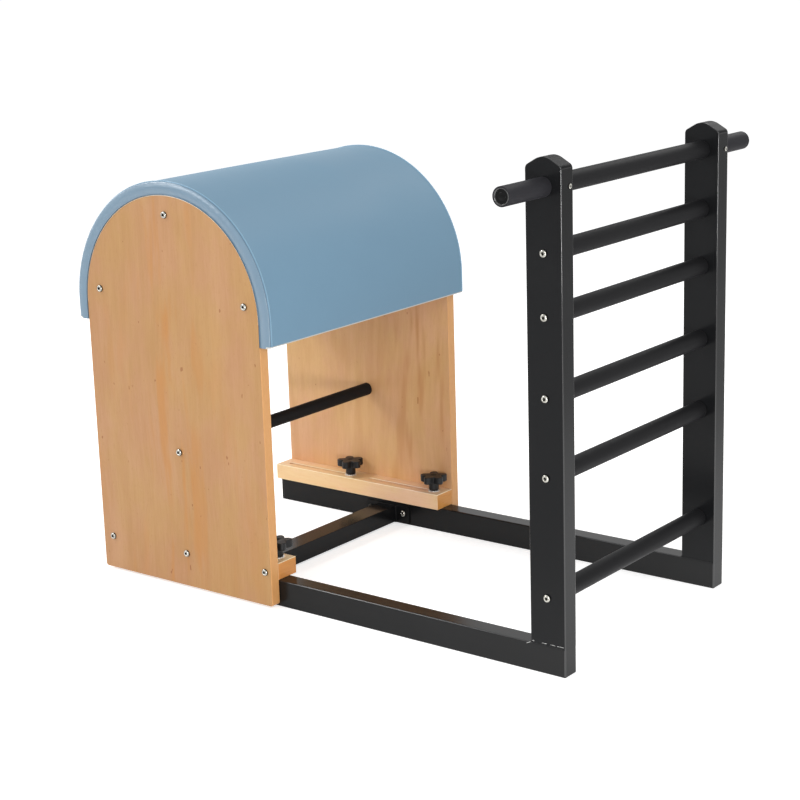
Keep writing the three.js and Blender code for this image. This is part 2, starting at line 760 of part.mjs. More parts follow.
// Four star knobs, one through each cleat slot
function makeKnobs() {
  const knobs = new THREE.Group();
  const turnShares = { left_back: 0.174, left_front: 0.147, right_back: 0.16, right_front: 0.127 };
  for (const { name, sign } of sides) {
    knobXs.forEach((x, i) => {
      const label = `${name}_${['back', 'front'][i]}`;
      const knob = piece(`star_knob_${label}`, knobGeometry(), blackPlastic,
        x, sign * slotY, cleatTop + seatGap);
      knob.rotation.z = 2 * Math.PI * turnShares[label];
      knobs.add(knob);
    });
  }
  return knobs;
}

const group = new THREE.Group();
group.add(makeBase(), makeLadder(), makeBarrel(), makeKnobs());

export default group;
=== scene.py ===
"""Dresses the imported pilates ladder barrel: fine meshes, finishes, studio and camera.

All sizes are in metres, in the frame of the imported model: +X runs from the barrel to the ladder, +Y to
the left rail and +Z up. Every sub-assembly is a class that holds its sizes as fields, and takes its places
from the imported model's own boxes.
"""

import json
import logging
import math
from collections.abc import Callable, Sequence
from dataclasses import dataclass, field, replace
from enum import Enum
from typing import ClassVar

import bmesh
import bpy
from mathutils import Matrix, Vector, noise
from mathutils.geometry import tessellate_polygon


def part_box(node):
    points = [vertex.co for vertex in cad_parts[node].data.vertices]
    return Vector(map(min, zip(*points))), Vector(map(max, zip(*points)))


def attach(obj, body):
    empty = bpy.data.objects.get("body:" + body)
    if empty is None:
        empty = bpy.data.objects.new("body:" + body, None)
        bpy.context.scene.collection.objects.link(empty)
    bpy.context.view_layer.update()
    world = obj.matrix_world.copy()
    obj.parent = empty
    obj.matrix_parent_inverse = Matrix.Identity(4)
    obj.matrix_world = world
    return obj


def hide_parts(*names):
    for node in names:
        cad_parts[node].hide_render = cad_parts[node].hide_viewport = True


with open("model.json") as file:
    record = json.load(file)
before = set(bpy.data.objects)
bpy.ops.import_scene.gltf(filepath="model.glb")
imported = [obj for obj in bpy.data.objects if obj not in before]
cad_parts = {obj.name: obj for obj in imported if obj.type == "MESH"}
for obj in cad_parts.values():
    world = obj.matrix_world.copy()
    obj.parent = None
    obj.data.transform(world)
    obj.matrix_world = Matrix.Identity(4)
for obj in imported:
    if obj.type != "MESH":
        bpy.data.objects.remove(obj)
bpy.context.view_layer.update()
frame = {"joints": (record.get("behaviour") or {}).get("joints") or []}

MM = 0.001
WELD_DISTANCE = 1e-6
BEAD_LEAN = Vector((0.31, 0.22, 0.93))
BEAD_RIPPLE = 2.5 * MM
LOG = logging.getLogger("ladder_barrel")

Point = tuple[float, float]
Colour = tuple[float, float, float, float]
Rings = list[list[Vector]]
Outline = Callable[[float], list[Point]]
Inputs = dict[str | int, object]


class Axis(Enum):
    """The direction in which a part, or the grain of its wood, runs."""

    X = "x"
    Y = "y"
    Z = "z"


class Side(Enum):
    """One side of the object, with its sign along Y."""

    LEFT = 1
    RIGHT = -1

    @property
    def label(self) -> str:
        """The side's name in node names."""
        return self.name.lower()


class Slot(Enum):
    """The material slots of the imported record."""

    PAINT = "frame_paint"
    PLY = "birch_ply"
    WOOD = "cleat_wood"
    VINYL = "pad_vinyl"
    ZINC = "bright_zinc"
    KNOB = "knob_plastic"
    PLUG = "black_plastic"


@dataclass(frozen=True)
class Span:
    """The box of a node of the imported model."""

    low: Vector
    high: Vector

    @property
    def centre(self) -> Vector:
        """The box's middle."""
        return (self.low + self.high) / 2

    @property
    def size(self) -> Vector:
        """The box's extents."""
        return self.high - self.low


def span(node: str) -> Span:
    """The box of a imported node.

    Args:
        node: The node's name.

    Returns:
        Its lowest and highest corner.
    """
    return Span(*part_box(node))


def outer_face(box: Span) -> float:
    """The distance from the object's middle plane to a box's outer face."""
    return max(abs(box.low.y), abs(box.high.y))


def inner_face(box: Span) -> float:
    """The distance from the object's middle plane to a box's inner face."""
    return min(abs(box.low.y), abs(box.high.y))


def grey(value: float) -> Colour:
    """A neutral colour of that linear value."""
    return (value, value, value, 1.0)


# Outlines and rings


def arc(centre: Point, radius: float, start: float, end: float, steps: int) -> list[Point]:
    """Points along an arc, both ends included.

    Args:
        centre: The arc's centre.
        radius: Its radius.
        start: The first angle, in radians.
        end: The last angle, in radians.
        steps: How many stretches it has.

    Returns:
        The points.
    """
    angles = [start + (end - start) * i / steps for i in range(steps + 1)]
    return [(centre[0] + radius * math.cos(a), centre[1] + radius * math.sin(a)) for a in angles]


def rounded_rectangle(width: float, height: float, radius: float, steps: int = 6) -> list[Point]:
    """Counter-clockwise outline of a rectangle about the origin with rounded corners.

    Args:
        width: The extent along the first axis.
        height: The extent along the second axis.
        radius: The corners' radius.
        steps: How many stretches each corner has.

    Returns:
        The outline's points.
    """
    radius = max(radius, WELD_DISTANCE * 4)
    x = width / 2 - radius
    y = height / 2 - radius
    quarter = math.pi / 2
    corners = [(x, -y, 3), (x, y, 0), (-x, y, 1), (-x, -y, 2)]
    return [p for cx, cy, q in corners for p in arc((cx, cy), radius, q * quarter, (q + 1) * quarter, steps)]


def rectangle_outline(width: float, height: float, radius: float, steps: int = 6) -> Outline:
    """Outline of a rounded rectangle that shrinks by an inset."""
    return lambda inset: rounded_rectangle(width - 2 * inset, height - 2 * inset, radius - inset, steps)


def circle(radius: float, centre: Point = (0.0, 0.0), steps: int = 32) -> list[Point]:
    """Outline of a circle."""
    return arc(centre, radius, 0, math.tau * (steps - 1) / steps, steps - 1)


def along(axis: Axis, u: float, v: float, w: float) -> Vector:
    """The point of a section that runs along an axis.

    Args:
        axis: The axis.
        u: The place along the section's first direction.
        v: The place along its second direction.
        w: The place along the axis.

    Returns:
        The point.
    """
    match axis:
        case Axis.X:
            return Vector((w, u, v))
        case Axis.Y:
            return Vector((u, w, v))
        case Axis.Z:
            return Vector((u, v, w))


def edge_profile(length: float, rounding: float, steps: int = 4) -> list[Point]:
    """Insets and places along a part whose two ends are rounded over.

    Args:
        length: The part's length.
        rounding: The radius of the rounding at both ends.
        steps: How many stretches each rounding has.

    Returns:
        Pairs of inset and place, from one end to the other.
    """
    angles = [math.pi / 2 * i / steps for i in range(steps + 1)]
    start = [(rounding * (1 - math.sin(a)), rounding * (1 - math.cos(a))) for a in angles]
    return start + [(inset, length - place) for inset, place in reversed(start)]


def mesh_of(name: str, bm: bmesh.types.BMesh, crease: float = 35.0) -> bpy.types.Mesh:
    """Closes a bmesh into a mesh with outward faces, smooth but for its creases.

    Args:
        name: The mesh's name.
        bm: The bmesh, which is freed.
        crease: The angle in degrees above which an edge stays sharp.

    Returns:
        The mesh.
    """
    bmesh.ops.remove_doubles(bm, verts=bm.verts, dist=WELD_DISTANCE)
    bmesh.ops.recalc_face_normals(bm, faces=bm.faces)
    mesh = bpy.data.meshes.new(name)
    bm.to_mesh(mesh)
    bm.free()
    mesh.shade_smooth()
    mesh.set_sharp_from_angle(angle=math.radians(crease))
    return mesh


def join_rings(
    bm: bmesh.types.BMesh, rings: Rings, cap: bool = True, loop: bool = False, marked: Sequence[int] = (),
) -> None:
    """Adds a skin of quads over rings of equal count.

    Args:
        bm: The bmesh that takes the skin.
        rings: The rings, in order.
        cap: Whether the first and last ring are filled.
        loop: Whether the last ring joins the first.
        marked: The numbers of the stretches between rings that take the second finish.
    """
    rows = [[bm.verts.new(p) for p in ring] for ring in rings]
    pairs = list(zip(rows, rows[1:] + (rows[:1] if loop else [])))
    for number, (a, b) in enumerate(pairs):
        for i in range(len(a)):
            j = (i + 1) % len(a)
            face = bm.faces.new((a[i], a[j], b[j], b[i]))
            face.material_index = int(number in marked)
    if cap and not loop:
        bm.faces.new(rows[0])
        bm.faces.new(rows[-1])


def fill(bm: bmesh.types.BMesh, loops: Rings) -> None:
    """Adds a flat face with holes.

    Args:
        bm: The bmesh that takes the face.
        loops: The face's bound, and then the bound of each hole.
    """
    verts = [bm.verts.new(p) for ring in loops for p in ring]
    for triangle in tessellate_polygon(loops):
        if len(set(triangle)) == 3:
            bm.faces.new([verts[i] for i in triangle])


def mark(mesh: bpy.types.Mesh, number: int, test: Callable[[bpy.types.MeshPolygon], bool]) -> None:
    """Gives some faces another finish than the piece's main one.

    Args:
        mesh: The mesh.
        number: The finish's number among the piece's finishes.
        test: What a face has to pass.
    """
    for polygon in mesh.polygons:
        if test(polygon):
            polygon.material_index = number


def bar(name: str, axis: Axis, outline: Outline, box: Span, rounding: float) -> bpy.types.Mesh:
    """Solid bar of one section that fills a box, with rounded ends.

    Args:
        name: The mesh's name.
        axis: The axis that it runs along.
        outline: The section about its middle, for an inset.
        box: The box that it fills.
        rounding: The radius of the rounding at its ends.

    Returns:
        The mesh.
    """
    index = list(Axis).index(axis)
    bm = bmesh.new()
    middle = box.centre
    middle[index] = box.low[index]
    rings = [
        [middle + along(axis, u, v, place) for u, v in outline(inset)]
        for inset, place in edge_profile(box.size[index], rounding)
    ]
    join_rings(bm, rings)
    return mesh_of(name, bm)


def slab(
    name: str, axis: Axis, origin: Vector, outline: Outline, holes: Sequence[Outline], thickness: float,
    rounding: float,
) -> bpy.types.Mesh:
    """Plate with holes through it and rounded edges, from its origin along an axis.

    Args:
        name: The mesh's name.
        axis: The axis across the plate.
        origin: Where the outlines' own origin lies, on the plate's first face.
        outline: The plate's outline, for an inset.
        holes: The outline of each hole, for an inset of its own; it grows by what the plate's edge loses.
        thickness: The plate's thickness.
        rounding: The radius of all its edges.

    Returns:
        The mesh.
    """
    bm = bmesh.new()
    profile = edge_profile(thickness, rounding, 3)
    faces: list[Rings] = [[], []]
    for number, shape in enumerate([outline, *holes]):
        sign = 1 if number == 0 else -1
        rings = [[origin + along(axis, u, v, w) for u, v in shape(sign * inset)] for inset, w in profile]
        join_rings(bm, rings, cap=False)
        faces[0].append(rings[0])
        faces[1].append(rings[-1])
    for loops in faces:
        fill(bm, loops)
    return mesh_of(name, bm)


def turned(
    name: str, axis: Axis, centre: Vector, profile: Sequence[Point], steps: int = 48,
) -> bpy.types.Mesh:
    """Body turned about an axis.

    Args:
        name: The mesh's name.
        axis: The axis that it is turned about.
        centre: The point on the axis that the profile's heights count from.
        profile: Pairs of radius and height, from one point on the axis to another.
        steps: How many stretches the circle has.

    Returns:
        The mesh.
    """
    bm = bmesh.new()
    rings = [
        [centre + along(axis, u, v, height) for u, v in circle(radius, steps=steps)]
        for radius, height in profile
    ]
    join_rings(bm, rings, cap=False)
    return mesh_of(name, bm)


def round_tube(node: str, edge: float) -> bpy.types.Mesh:
    """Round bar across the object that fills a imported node.

    Args:
        node: The node's name.
        edge: The bevel at both ends.

    Returns:
        The mesh.
    """
    box = span(node)
    radius = box.size.z / 2
    half = box.size.y / 2
    profile = [(0.0, -half), (radius - edge, -half), (radius, edge - half), (radius, half - edge),
               (radius - edge, half), (0.0, half)]
    return turned(node, Axis.Y, box.centre, profile)


def bead(name: str, path: Sequence[Vector], radius: float, closed: bool, ripple: float) -> bpy.types.Mesh:
    """Weld bead that follows a path, a little uneven as a weld is.

    Args:
        name: The mesh's name.
        path: The points that it follows.
        radius: Its radius.
        closed: Whether it runs round a loop.
        ripple: The share of the radius by which it swells and shrinks.

    Returns:
        The mesh.
    """
    bm = bmesh.new()
    rings: Rings = []
    count = len(path)
    for i, point in enumerate(path):
        before = path[i - 1] if closed or i > 0 else point
        after = path[(i + 1) % count] if closed or i < count - 1 else point
        forward = (after - before).normalized()
        across = forward.cross(BEAD_LEAN).normalized()
        upward = forward.cross(across)
        swell = radius * (1 + ripple * noise.noise(point / BEAD_RIPPLE))
        rings.append([point + across * u * swell + upward * v * swell for u, v in circle(1.0, steps=10)])
    join_rings(bm, rings, cap=not closed, loop=closed)
    return mesh_of(name, bm, crease=60)


def walk(corners: Sequence[Vector], step: float, closed: bool) -> list[Vector]:
    """Evenly spaced points along straight stretches between corners.

    Args:
        corners: The corners, in order.
        step: The greatest distance between points.
        closed: Whether the last corner joins the first.

    Returns:
        The points.
    """
    points: list[Vector] = []
    ends = [*corners[1:], *(corners[:1] if closed else [])]
    for a, b in zip(corners, ends):
        count = max(1, math.ceil((b - a).length / step))
        points.extend(a.lerp(b, i / count) for i in range(count))
    return points if closed else [*points, corners[-1]]


# Shader nodes


class Shader:
    """Adds nodes to a shader tree and links them."""

    def __init__(self, tree: bpy.types.NodeTree) -> None:
        """Takes the tree that the nodes go into."""
        self.tree = tree

    def put(self, socket: bpy.types.NodeSocket, value: object) -> None:
        """Links a socket to another one, or sets its value.

        Args:
            socket: The socket that takes the value.
            value: Another socket, a number, a colour or a vector; None leaves the socket as it is.
        """
        if isinstance(value, bpy.types.NodeSocket):
            self.tree.links.new(value, socket)
        elif value is not None:
            socket.default_value = value

    def add(self, kind: str, inputs: Inputs | None = None, **settings: object) -> bpy.types.Node:
        """Adds a node.

        Args:
            kind: The node's type, without its leading word.
            inputs: Values or sockets for its inputs, by name or number.
            **settings: Values for its properties.

        Returns:
            The node.
        """
        node = self.tree.nodes.new(f"ShaderNode{kind}")
        for name, value in settings.items():
            setattr(node, name, value)
        for key, value in (inputs or {}).items():
            self.put(node.inputs[key], value)
        return node

    def maths(self, operation: str, a: object, b: object = None, c: object = None) -> bpy.types.NodeSocket:
        """The result of a sum on numbers or sockets."""
        return self.add("Math", {0: a, 1: b, 2: c}, operation=operation).outputs[0]

    def times(self, a: object, b: object) -> bpy.types.NodeSocket:
        """The product of two values."""
        return self.maths("MULTIPLY", a, b)

    def plus(self, a: object, b: object) -> bpy.types.NodeSocket:
        """The sum of two values."""
        return self.maths("ADD", a, b)

    def vector(self, operation: str, a: object, b: object) -> bpy.types.NodeSocket:
        """The result of a sum on two vectors."""
        return self.add("VectorMath", {0: a, 1: b}, operation=operation).outputs[0]

    def place(self) -> bpy.types.NodeSocket:
        """The place on the object."""
        return self.add("TexCoord").outputs["Object"]

    def noise(
        self, vector: object, scale: object, detail: float = 2.0, roughness: float = 0.5,
        distortion: float = 0.0,
    ) -> bpy.types.NodeSocket:
        """A noise value from 0 to 1.

        Args:
            vector: Where it is taken.
            scale: Its scale, or a scale for each axis.
            detail: How many finer layers it has.
            roughness: The strength of the finer layers.
            distortion: How far it is bent.

        Returns:
            The value.
        """
        if isinstance(scale, tuple):
            vector, scale = self.vector("MULTIPLY", vector, scale), 1.0
        return self.add("TexNoise", {
            "Vector": vector, "Scale": scale, "Detail": detail, "Roughness": roughness,
            "Distortion": distortion,
        }).outputs[0]

    def limits(
        self, value: object, low: float, high: float, to_low: float = 0.0, to_high: float = 1.0,
    ) -> bpy.types.NodeSocket:
        """A value taken smoothly from one range to another."""
        inputs = {0: value, 1: low, 2: high, 3: to_low, 4: to_high}
        return self.add("MapRange", inputs, interpolation_type="SMOOTHSTEP").outputs[0]

    def blend(self, share: object, a: object, b: object, kind: str = "MIX") -> bpy.types.NodeSocket:
        """A colour between two others, or their blend of another kind."""
        return self.add("Mix", {0: share, 6: a, 7: b}, data_type="RGBA", blend_type=kind).outputs[2]

    def principled(self, inputs: Inputs) -> None:
        """The surface shader, linked to a new output."""
        shader = self.add("BsdfPrincipled", inputs)
        self.add("OutputMaterial", {"Surface": shader.outputs[0]})

    def bump(
        self, height: object, strength: float, distance: float, normal: object = None,
    ) -> bpy.types.NodeSocket:
        """A normal raised by a height, on top of another normal if one is given."""
        inputs = {"Strength": strength, "Distance": distance, "Height": height, "Normal": normal}
        return self.add("Bump", inputs).outputs[0]


class EffectGroup:
    """A shader node group that several finishes share, built once and placed in each with its own values."""

    built: ClassVar[dict[str, bpy.types.NodeTree]] = {}

    name: ClassVar[str] = ""
    inputs: ClassVar[dict[str, str]] = {}
    outputs: ClassVar[dict[str, str]] = {}

    def wire(self, shader: Shader, given: bpy.types.NodeOutputs) -> dict[str, bpy.types.NodeSocket]:
        """Builds the group's inside and returns a socket for each output."""
        raise NotImplementedError

    def tree(self) -> bpy.types.NodeTree:
        """Makes the group at its first use.

        Returns:
            The group's node tree.
        """
        if self.name in self.built:
            return self.built[self.name]
        tree = bpy.data.node_groups.new(self.name, "ShaderNodeTree")
        for way, sockets in (("INPUT", self.inputs), ("OUTPUT", self.outputs)):
            for label, kind in sockets.items():
                tree.interface.new_socket(label, in_out=way, socket_type=kind)
        given = tree.nodes.new("NodeGroupInput")
        taken = tree.nodes.new("NodeGroupOutput")
        for label, socket in self.wire(Shader(tree), given.outputs).items():
            tree.links.new(socket, taken.inputs[label])
        self.built[self.name] = tree
        return tree

    def place(self, shader: Shader, values: Inputs) -> bpy.types.NodeOutputs:
        """Places the group in a material with that material's own values.

        Args:
            shader: The material's nodes.
            values: A value or socket for each of the group's inputs.

        Returns:
            The group's outputs there.
        """
        node = shader.add("Group", node_tree=self.tree())
        for label, value in values.items():
            shader.put(node.inputs[label], value)
        return node.outputs


class WoodGrain(EffectGroup):
    """Lacquered wood whose grain runs along the third coordinate."""

    name = "wood_grain"
    inputs = {
        "Place": "NodeSocketVector", "Pale": "NodeSocketColor", "Deep": "NodeSocketColor",
        "Streak": "NodeSocketColor", "Figure": "NodeSocketFloat", "Streaks": "NodeSocketFloat",
        "Fibres": "NodeSocketFloat", "Heart": "NodeSocketFloat",
    }
    outputs = {"Color": "NodeSocketColor", "Height": "NodeSocketFloat", "Gloss": "NodeSocketFloat"}

    wander_scale = (2.5, 2.5, 1.6)
    wander_reach = (0.05, 0.05, 0.0)
    broad_scale = (8.0, 8.0, 2.6)
    band_scale = (38.0, 38.0, 4.5)
    fine_scale = (230.0, 230.0, 13.0)
    fibre_scale = (950.0, 950.0, 22.0)
    fleck_scale = (620.0, 620.0, 95.0)
    hue_scale = (7.0, 7.0, 4.0)
    warm_scale = (24.0, 24.0, 3.4)
    speck_scale = (85.0, 85.0, 48.0)
    figure_shares = (0.4, 0.35, 0.25)
    green_tint = (0.985, 1.015, 0.90, 1)
    red_tint = (1.01, 0.985, 1.09, 1)
    heart_reach = (0.01, 0.13)

    def wire(self, shader: Shader, given: bpy.types.NodeOutputs) -> dict[str, bpy.types.NodeSocket]:
        """Builds broad figure, narrower bands, patches of hue, streaks, fibres, flecks and specks.

        Args:
            shader: The group's nodes.
            given: The group's inputs.

        Returns:
            A socket for each output.
        """
        place = given["Place"]
        stretched = shader.vector("MULTIPLY", place, self.wander_scale)
        wander = shader.add("TexNoise", {"Vector": stretched, "Scale": 1.0, "Detail": 1.0})
        push = shader.vector("ADD", wander.outputs[1], (-0.5, -0.5, -0.5))
        bent = shader.vector("ADD", place, shader.vector("MULTIPLY", push, self.wander_reach))
        broad = shader.noise(bent, self.broad_scale, 3.0, 0.6, 0.5)
        bands = shader.noise(bent, self.band_scale, 3.0, 0.6, 0.3)
        fine = shader.noise(bent, self.fine_scale, 2.0, 0.65)
        fibres = shader.noise(bent, self.fibre_scale, 1.0, 0.5)
        flecks = shader.limits(shader.noise(bent, self.fleck_scale, 0.0), 0.68, 0.8)
        hue = shader.noise(bent, self.hue_scale, 4.0, 0.65)
        warm = shader.noise(bent, self.warm_scale, 2.5, 0.6)
        specks = shader.limits(shader.noise(place, self.speck_scale, 1.0), 0.765, 0.80)
        parts = [shader.times(shader.limits(layer, 0.3, 0.7), share)
                 for layer, share in zip((broad, bands, fine), self.figure_shares)]
        figure = shader.times(shader.plus(shader.plus(parts[0], parts[1]), parts[2]), given["Figure"])
        plain = shader.blend(figure, given["Pale"], given["Deep"])
        tint = shader.blend(shader.limits(hue, 0.35, 0.65), self.green_tint, self.red_tint)
        ground = shader.blend(1.0, plain, tint, "MULTIPLY")
        across = shader.add("SeparateXYZ", {0: bent}).outputs[0]
        off_heart = shader.maths("ABSOLUTE", shader.maths("SUBTRACT", across, given["Heart"]))
        near_heart = shader.limits(off_heart, *self.heart_reach, 1.0, 0.3)
        streak = shader.times(shader.times(shader.limits(warm, 0.50, 0.66), given["Streaks"]), near_heart)
        streaked = shader.blend(streak, ground, given["Streak"])
        dark = shader.maths("MAXIMUM", shader.times(shader.limits(fibres, 0.5, 0.75), 0.55), flecks)
        dark = shader.times(dark, given["Fibres"])
        colour = shader.blend(dark, streaked, given["Deep"])
        depth = shader.maths("MAXIMUM", shader.times(dark, 0.25), shader.times(specks, 0.55))
        return {
            "Color": shader.blend(depth, colour, given["Streak"], "MULTIPLY"),
            "Height": shader.maths("SUBTRACT", shader.times(fine, 0.5), dark),
            "Gloss": shader.limits(bands, 0.2, 0.8),
        }


class OrangePeel(EffectGroup):
    """The fine unevenness of a sprayed or moulded skin, with slow changes of shade."""

    name = "orange_peel"
    inputs = {
        "Colour": "NodeSocketColor", "Scuffed": "NodeSocketColor", "Scuffs": "NodeSocketFloat",
        "Grain": "NodeSocketFloat", "Low": "NodeSocketFloat", "High": "NodeSocketFloat",
    }
    outputs = {"Color": "NodeSocketColor", "Height": "NodeSocketFloat", "Roughness": "NodeSocketFloat"}

    patch_scale = 7.0
    scuff_scale = (60.0, 60.0, 14.0)

    def wire(self, shader: Shader, given: bpy.types.NodeOutputs) -> dict[str, bpy.types.NodeSocket]:
        """Builds the peel and the scuffs from fine noises, and patches from a slow one.

        Args:
            shader: The group's nodes.
            given: The group's inputs.

        Returns:
            A socket for each output.
        """
        place = shader.place()
        peel = shader.noise(place, given["Grain"], 2.0, 0.6)
        patches = shader.noise(place, self.patch_scale, 3.0, 0.6)
        scuffs = shader.limits(shader.noise(place, self.scuff_scale, 4.0, 0.7), 0.62, 0.85)
        worn = shader.maths("MAXIMUM", scuffs, shader.limits(patches, 0.45, 0.8))
        spread = shader.maths("SUBTRACT", given["High"], given["Low"])
        mixed = shader.plus(shader.times(patches, 0.6), shader.times(peel, 0.4))
        return {
            "Color": shader.blend(shader.times(worn, given["Scuffs"]), given["Colour"], given["Scuffed"]),
            "Height": peel,
            "Roughness": shader.plus(given["Low"], shader.times(mixed, spread)),
        }


WOOD_GRAIN = WoodGrain()
ORANGE_PEEL = OrangePeel()


def new_material(name: str) -> tuple[bpy.types.Material, Shader]:
    """Makes an empty node material.

    Args:
        name: The material's name.

    Returns:
        The material, and what adds nodes to it.
    """
    material = bpy.data.materials.new(name)
    material.use_nodes = True
    material.node_tree.nodes.clear()
    return material, Shader(material.node_tree)


@dataclass(frozen=True)
class Paint:
    """Satin powder coat or moulded plastic: one colour, orange peel and faint patches."""

    name: str
    slot: Slot
    colour: Colour
    scuffed: Colour
    scuffs: float
    grain: float
    rough_low: float
    rough_high: float
    bump: float
    specular: float = 0.5
    coat: float = 0.0

    def material(self) -> bpy.types.Material:
        """Builds the finish's material.

        Returns:
            The material.
        """
        material, shader = new_material(self.name)
        skin = ORANGE_PEEL.place(shader, {
            "Colour": self.colour, "Scuffed": self.scuffed, "Scuffs": self.scuffs, "Grain": self.grain,
            "Low": self.rough_low, "High": self.rough_high,
        })
        shader.principled({
            "Base Color": skin["Color"], "Roughness": skin["Roughness"], "Specular IOR Level": self.specular,
            "Coat Weight": self.coat, "Coat Roughness": 0.2,
            "Normal": shader.bump(skin["Height"], self.bump, 0.1 * MM),
        })
        return material


@dataclass(frozen=True)
class Wood:
    """Lacquered wood or veneer with its grain along one axis."""

    name: str
    slot: Slot
    pale: Colour
    deep: Colour
    streak: Colour
    grain: Axis = Axis.Z
    figure: float = 1.0
    streaks: float = 0.8
    fibres: float = 0.35
    heart: float = -0.36
    roughness: tuple[float, float] = (0.38, 0.5)

    def material(self) -> bpy.types.Material:
        """Builds the finish's material.

        Returns:
            The material.
        """
        material, shader = new_material(self.name)
        parts = shader.add("SeparateXYZ", {0: shader.place()}).outputs
        order = {Axis.X: (1, 2, 0), Axis.Y: (0, 2, 1), Axis.Z: (0, 1, 2)}[self.grain]
        turned_place = shader.add("CombineXYZ", {i: parts[n] for i, n in enumerate(order)}).outputs[0]
        grain = WOOD_GRAIN.place(shader, {
            "Place": turned_place, "Pale": self.pale, "Deep": self.deep, "Streak": self.streak,
            "Figure": self.figure, "Streaks": self.streaks, "Fibres": self.fibres, "Heart": self.heart,
        })
        shader.principled({
            "Base Color": grain["Color"],
            "Roughness": shader.limits(grain["Gloss"], 0.0, 1.0, *self.roughness),
            "Coat Weight": 0.08, "Coat Roughness": 0.25, "Specular IOR Level": 0.3,
            "Normal": shader.bump(grain["Height"], 0.12, 0.15 * MM),
        })
        return material


@dataclass(frozen=True)
class PlyEdge:
    """The sanded and lacquered edge of plywood, with its thin layers."""

    name: str
    slot: Slot
    pale: Colour
    deep: Colour
    layer: float = 1.6 * MM
    shake: float = 0.6 * MM
    end_grain_scale: tuple[float, float, float] = (70.0, 900.0, 70.0)

    def material(self) -> bpy.types.Material:
        """Builds the finish's material.

        Returns:
            The material.
        """
        material, shader = new_material(self.name)
        place = shader.place()
        across = shader.add("SeparateXYZ", {0: place}).outputs[1]
        shaken = shader.plus(across, shader.times(shader.noise(place, 30.0, 2.0), self.shake))
        wave = shader.maths("SINE", shader.times(shaken, math.pi / self.layer))
        end_grain = shader.noise(place, self.end_grain_scale, 2.0, 0.6)
        layers = shader.limits(wave, -0.6, 0.6, 0.0, 0.3)
        share = shader.plus(layers, shader.limits(end_grain, 0.3, 0.75, 0.0, 0.45))
        shader.principled({
            "Base Color": shader.blend(share, self.pale, self.deep),
            "Roughness": shader.limits(end_grain, 0.2, 0.8, 0.4, 0.55),
            "Coat Weight": 0.1, "Coat Roughness": 0.3,
            "Normal": shader.bump(end_grain, 0.15, 0.2 * MM),
        })
        return material


@dataclass(frozen=True)
class Vinyl:
    """Imitation leather: a fine pebble grain, soft sheen and slow changes of shade."""

    name: str
    slot: Slot
    colour: Colour
    lit: Colour
    pebble: float = 1.1 * MM
    fine_grain: float = 2600.0
    puckered: tuple[float, float] = (0.330, 0.340)
    pucker_scale: tuple[float, float, float] = (95.0, 240.0, 95.0)
    roughness: tuple[float, float] = (0.34, 0.46)
    specular: float = 0.5

    def material(self) -> bpy.types.Material:
        """Builds the finish's material.

        Returns:
            The material.
        """
        material, shader = new_material(self.name)
        place = shader.place()
        pebbles = {"Vector": place, "Scale": 1 / self.pebble, "Randomness": 1.0}
        cells = shader.add("TexVoronoi", pebbles, feature="F1").outputs[0]
        grain = shader.plus(cells, shader.times(shader.noise(place, self.fine_grain, 1.0), 0.35))
        from_middle = shader.maths("ABSOLUTE", shader.add("SeparateXYZ", {0: place}).outputs[1])
        pull = shader.noise(place, self.pucker_scale, 2.0, 0.55)
        pucker = shader.times(pull, shader.limits(from_middle, *self.puckered))
        slow = shader.noise(place, 5.0, 3.0, 0.55)
        # Painted shade: the hollows between the pebbles keep the darker colour, while their tops lean to the
        # lit one.
        painted_crease_shade = shader.limits(cells, 0.1, 0.7, 0.25, 0.0)
        shade = shader.plus(shader.limits(slow, 0.3, 0.7, 0.0, 0.5), painted_crease_shade)
        shader.principled({
            "Base Color": shader.blend(shade, self.colour, self.lit),
            "Roughness": shader.limits(slow, 0.25, 0.75, *self.roughness),
            "Specular IOR Level": self.specular,
            "Normal": shader.bump(grain, 0.12, 0.12 * MM, shader.bump(pucker, 0.5, 1.6 * MM)),
        })
        return material


@dataclass(frozen=True)
class Zinc:
    """Bright plated steel with fine turning marks and slight tarnish."""

    name: str
    slot: Slot
    colour: Colour
    tarnish: Colour
    roughness: tuple[float, float] = (0.14, 0.3)
    metallic: float = 1.0
    cloud_scale: float = 180.0
    mark_scale: tuple[float, float, float] = (2400.0, 500.0, 2400.0)

    def material(self) -> bpy.types.Material:
        """Builds the finish's material.

        Returns:
            The material.
        """
        material, shader = new_material(self.name)
        place = shader.place()
        cloud = shader.noise(place, self.cloud_scale, 3.0, 0.6)
        marks = shader.noise(place, self.mark_scale, 2.0, 0.6)
        shader.principled({
            "Base Color": shader.blend(shader.limits(cloud, 0.4, 0.75, 0.0, 0.7), self.colour, self.tarnish),
            "Metallic": self.metallic, "Roughness": shader.limits(cloud, 0.3, 0.75, *self.roughness),
            "Normal": shader.bump(marks, 0.12, 0.05 * MM),
        })
        return material


Finish = Paint | Wood | PlyEdge | Vinyl | Zinc


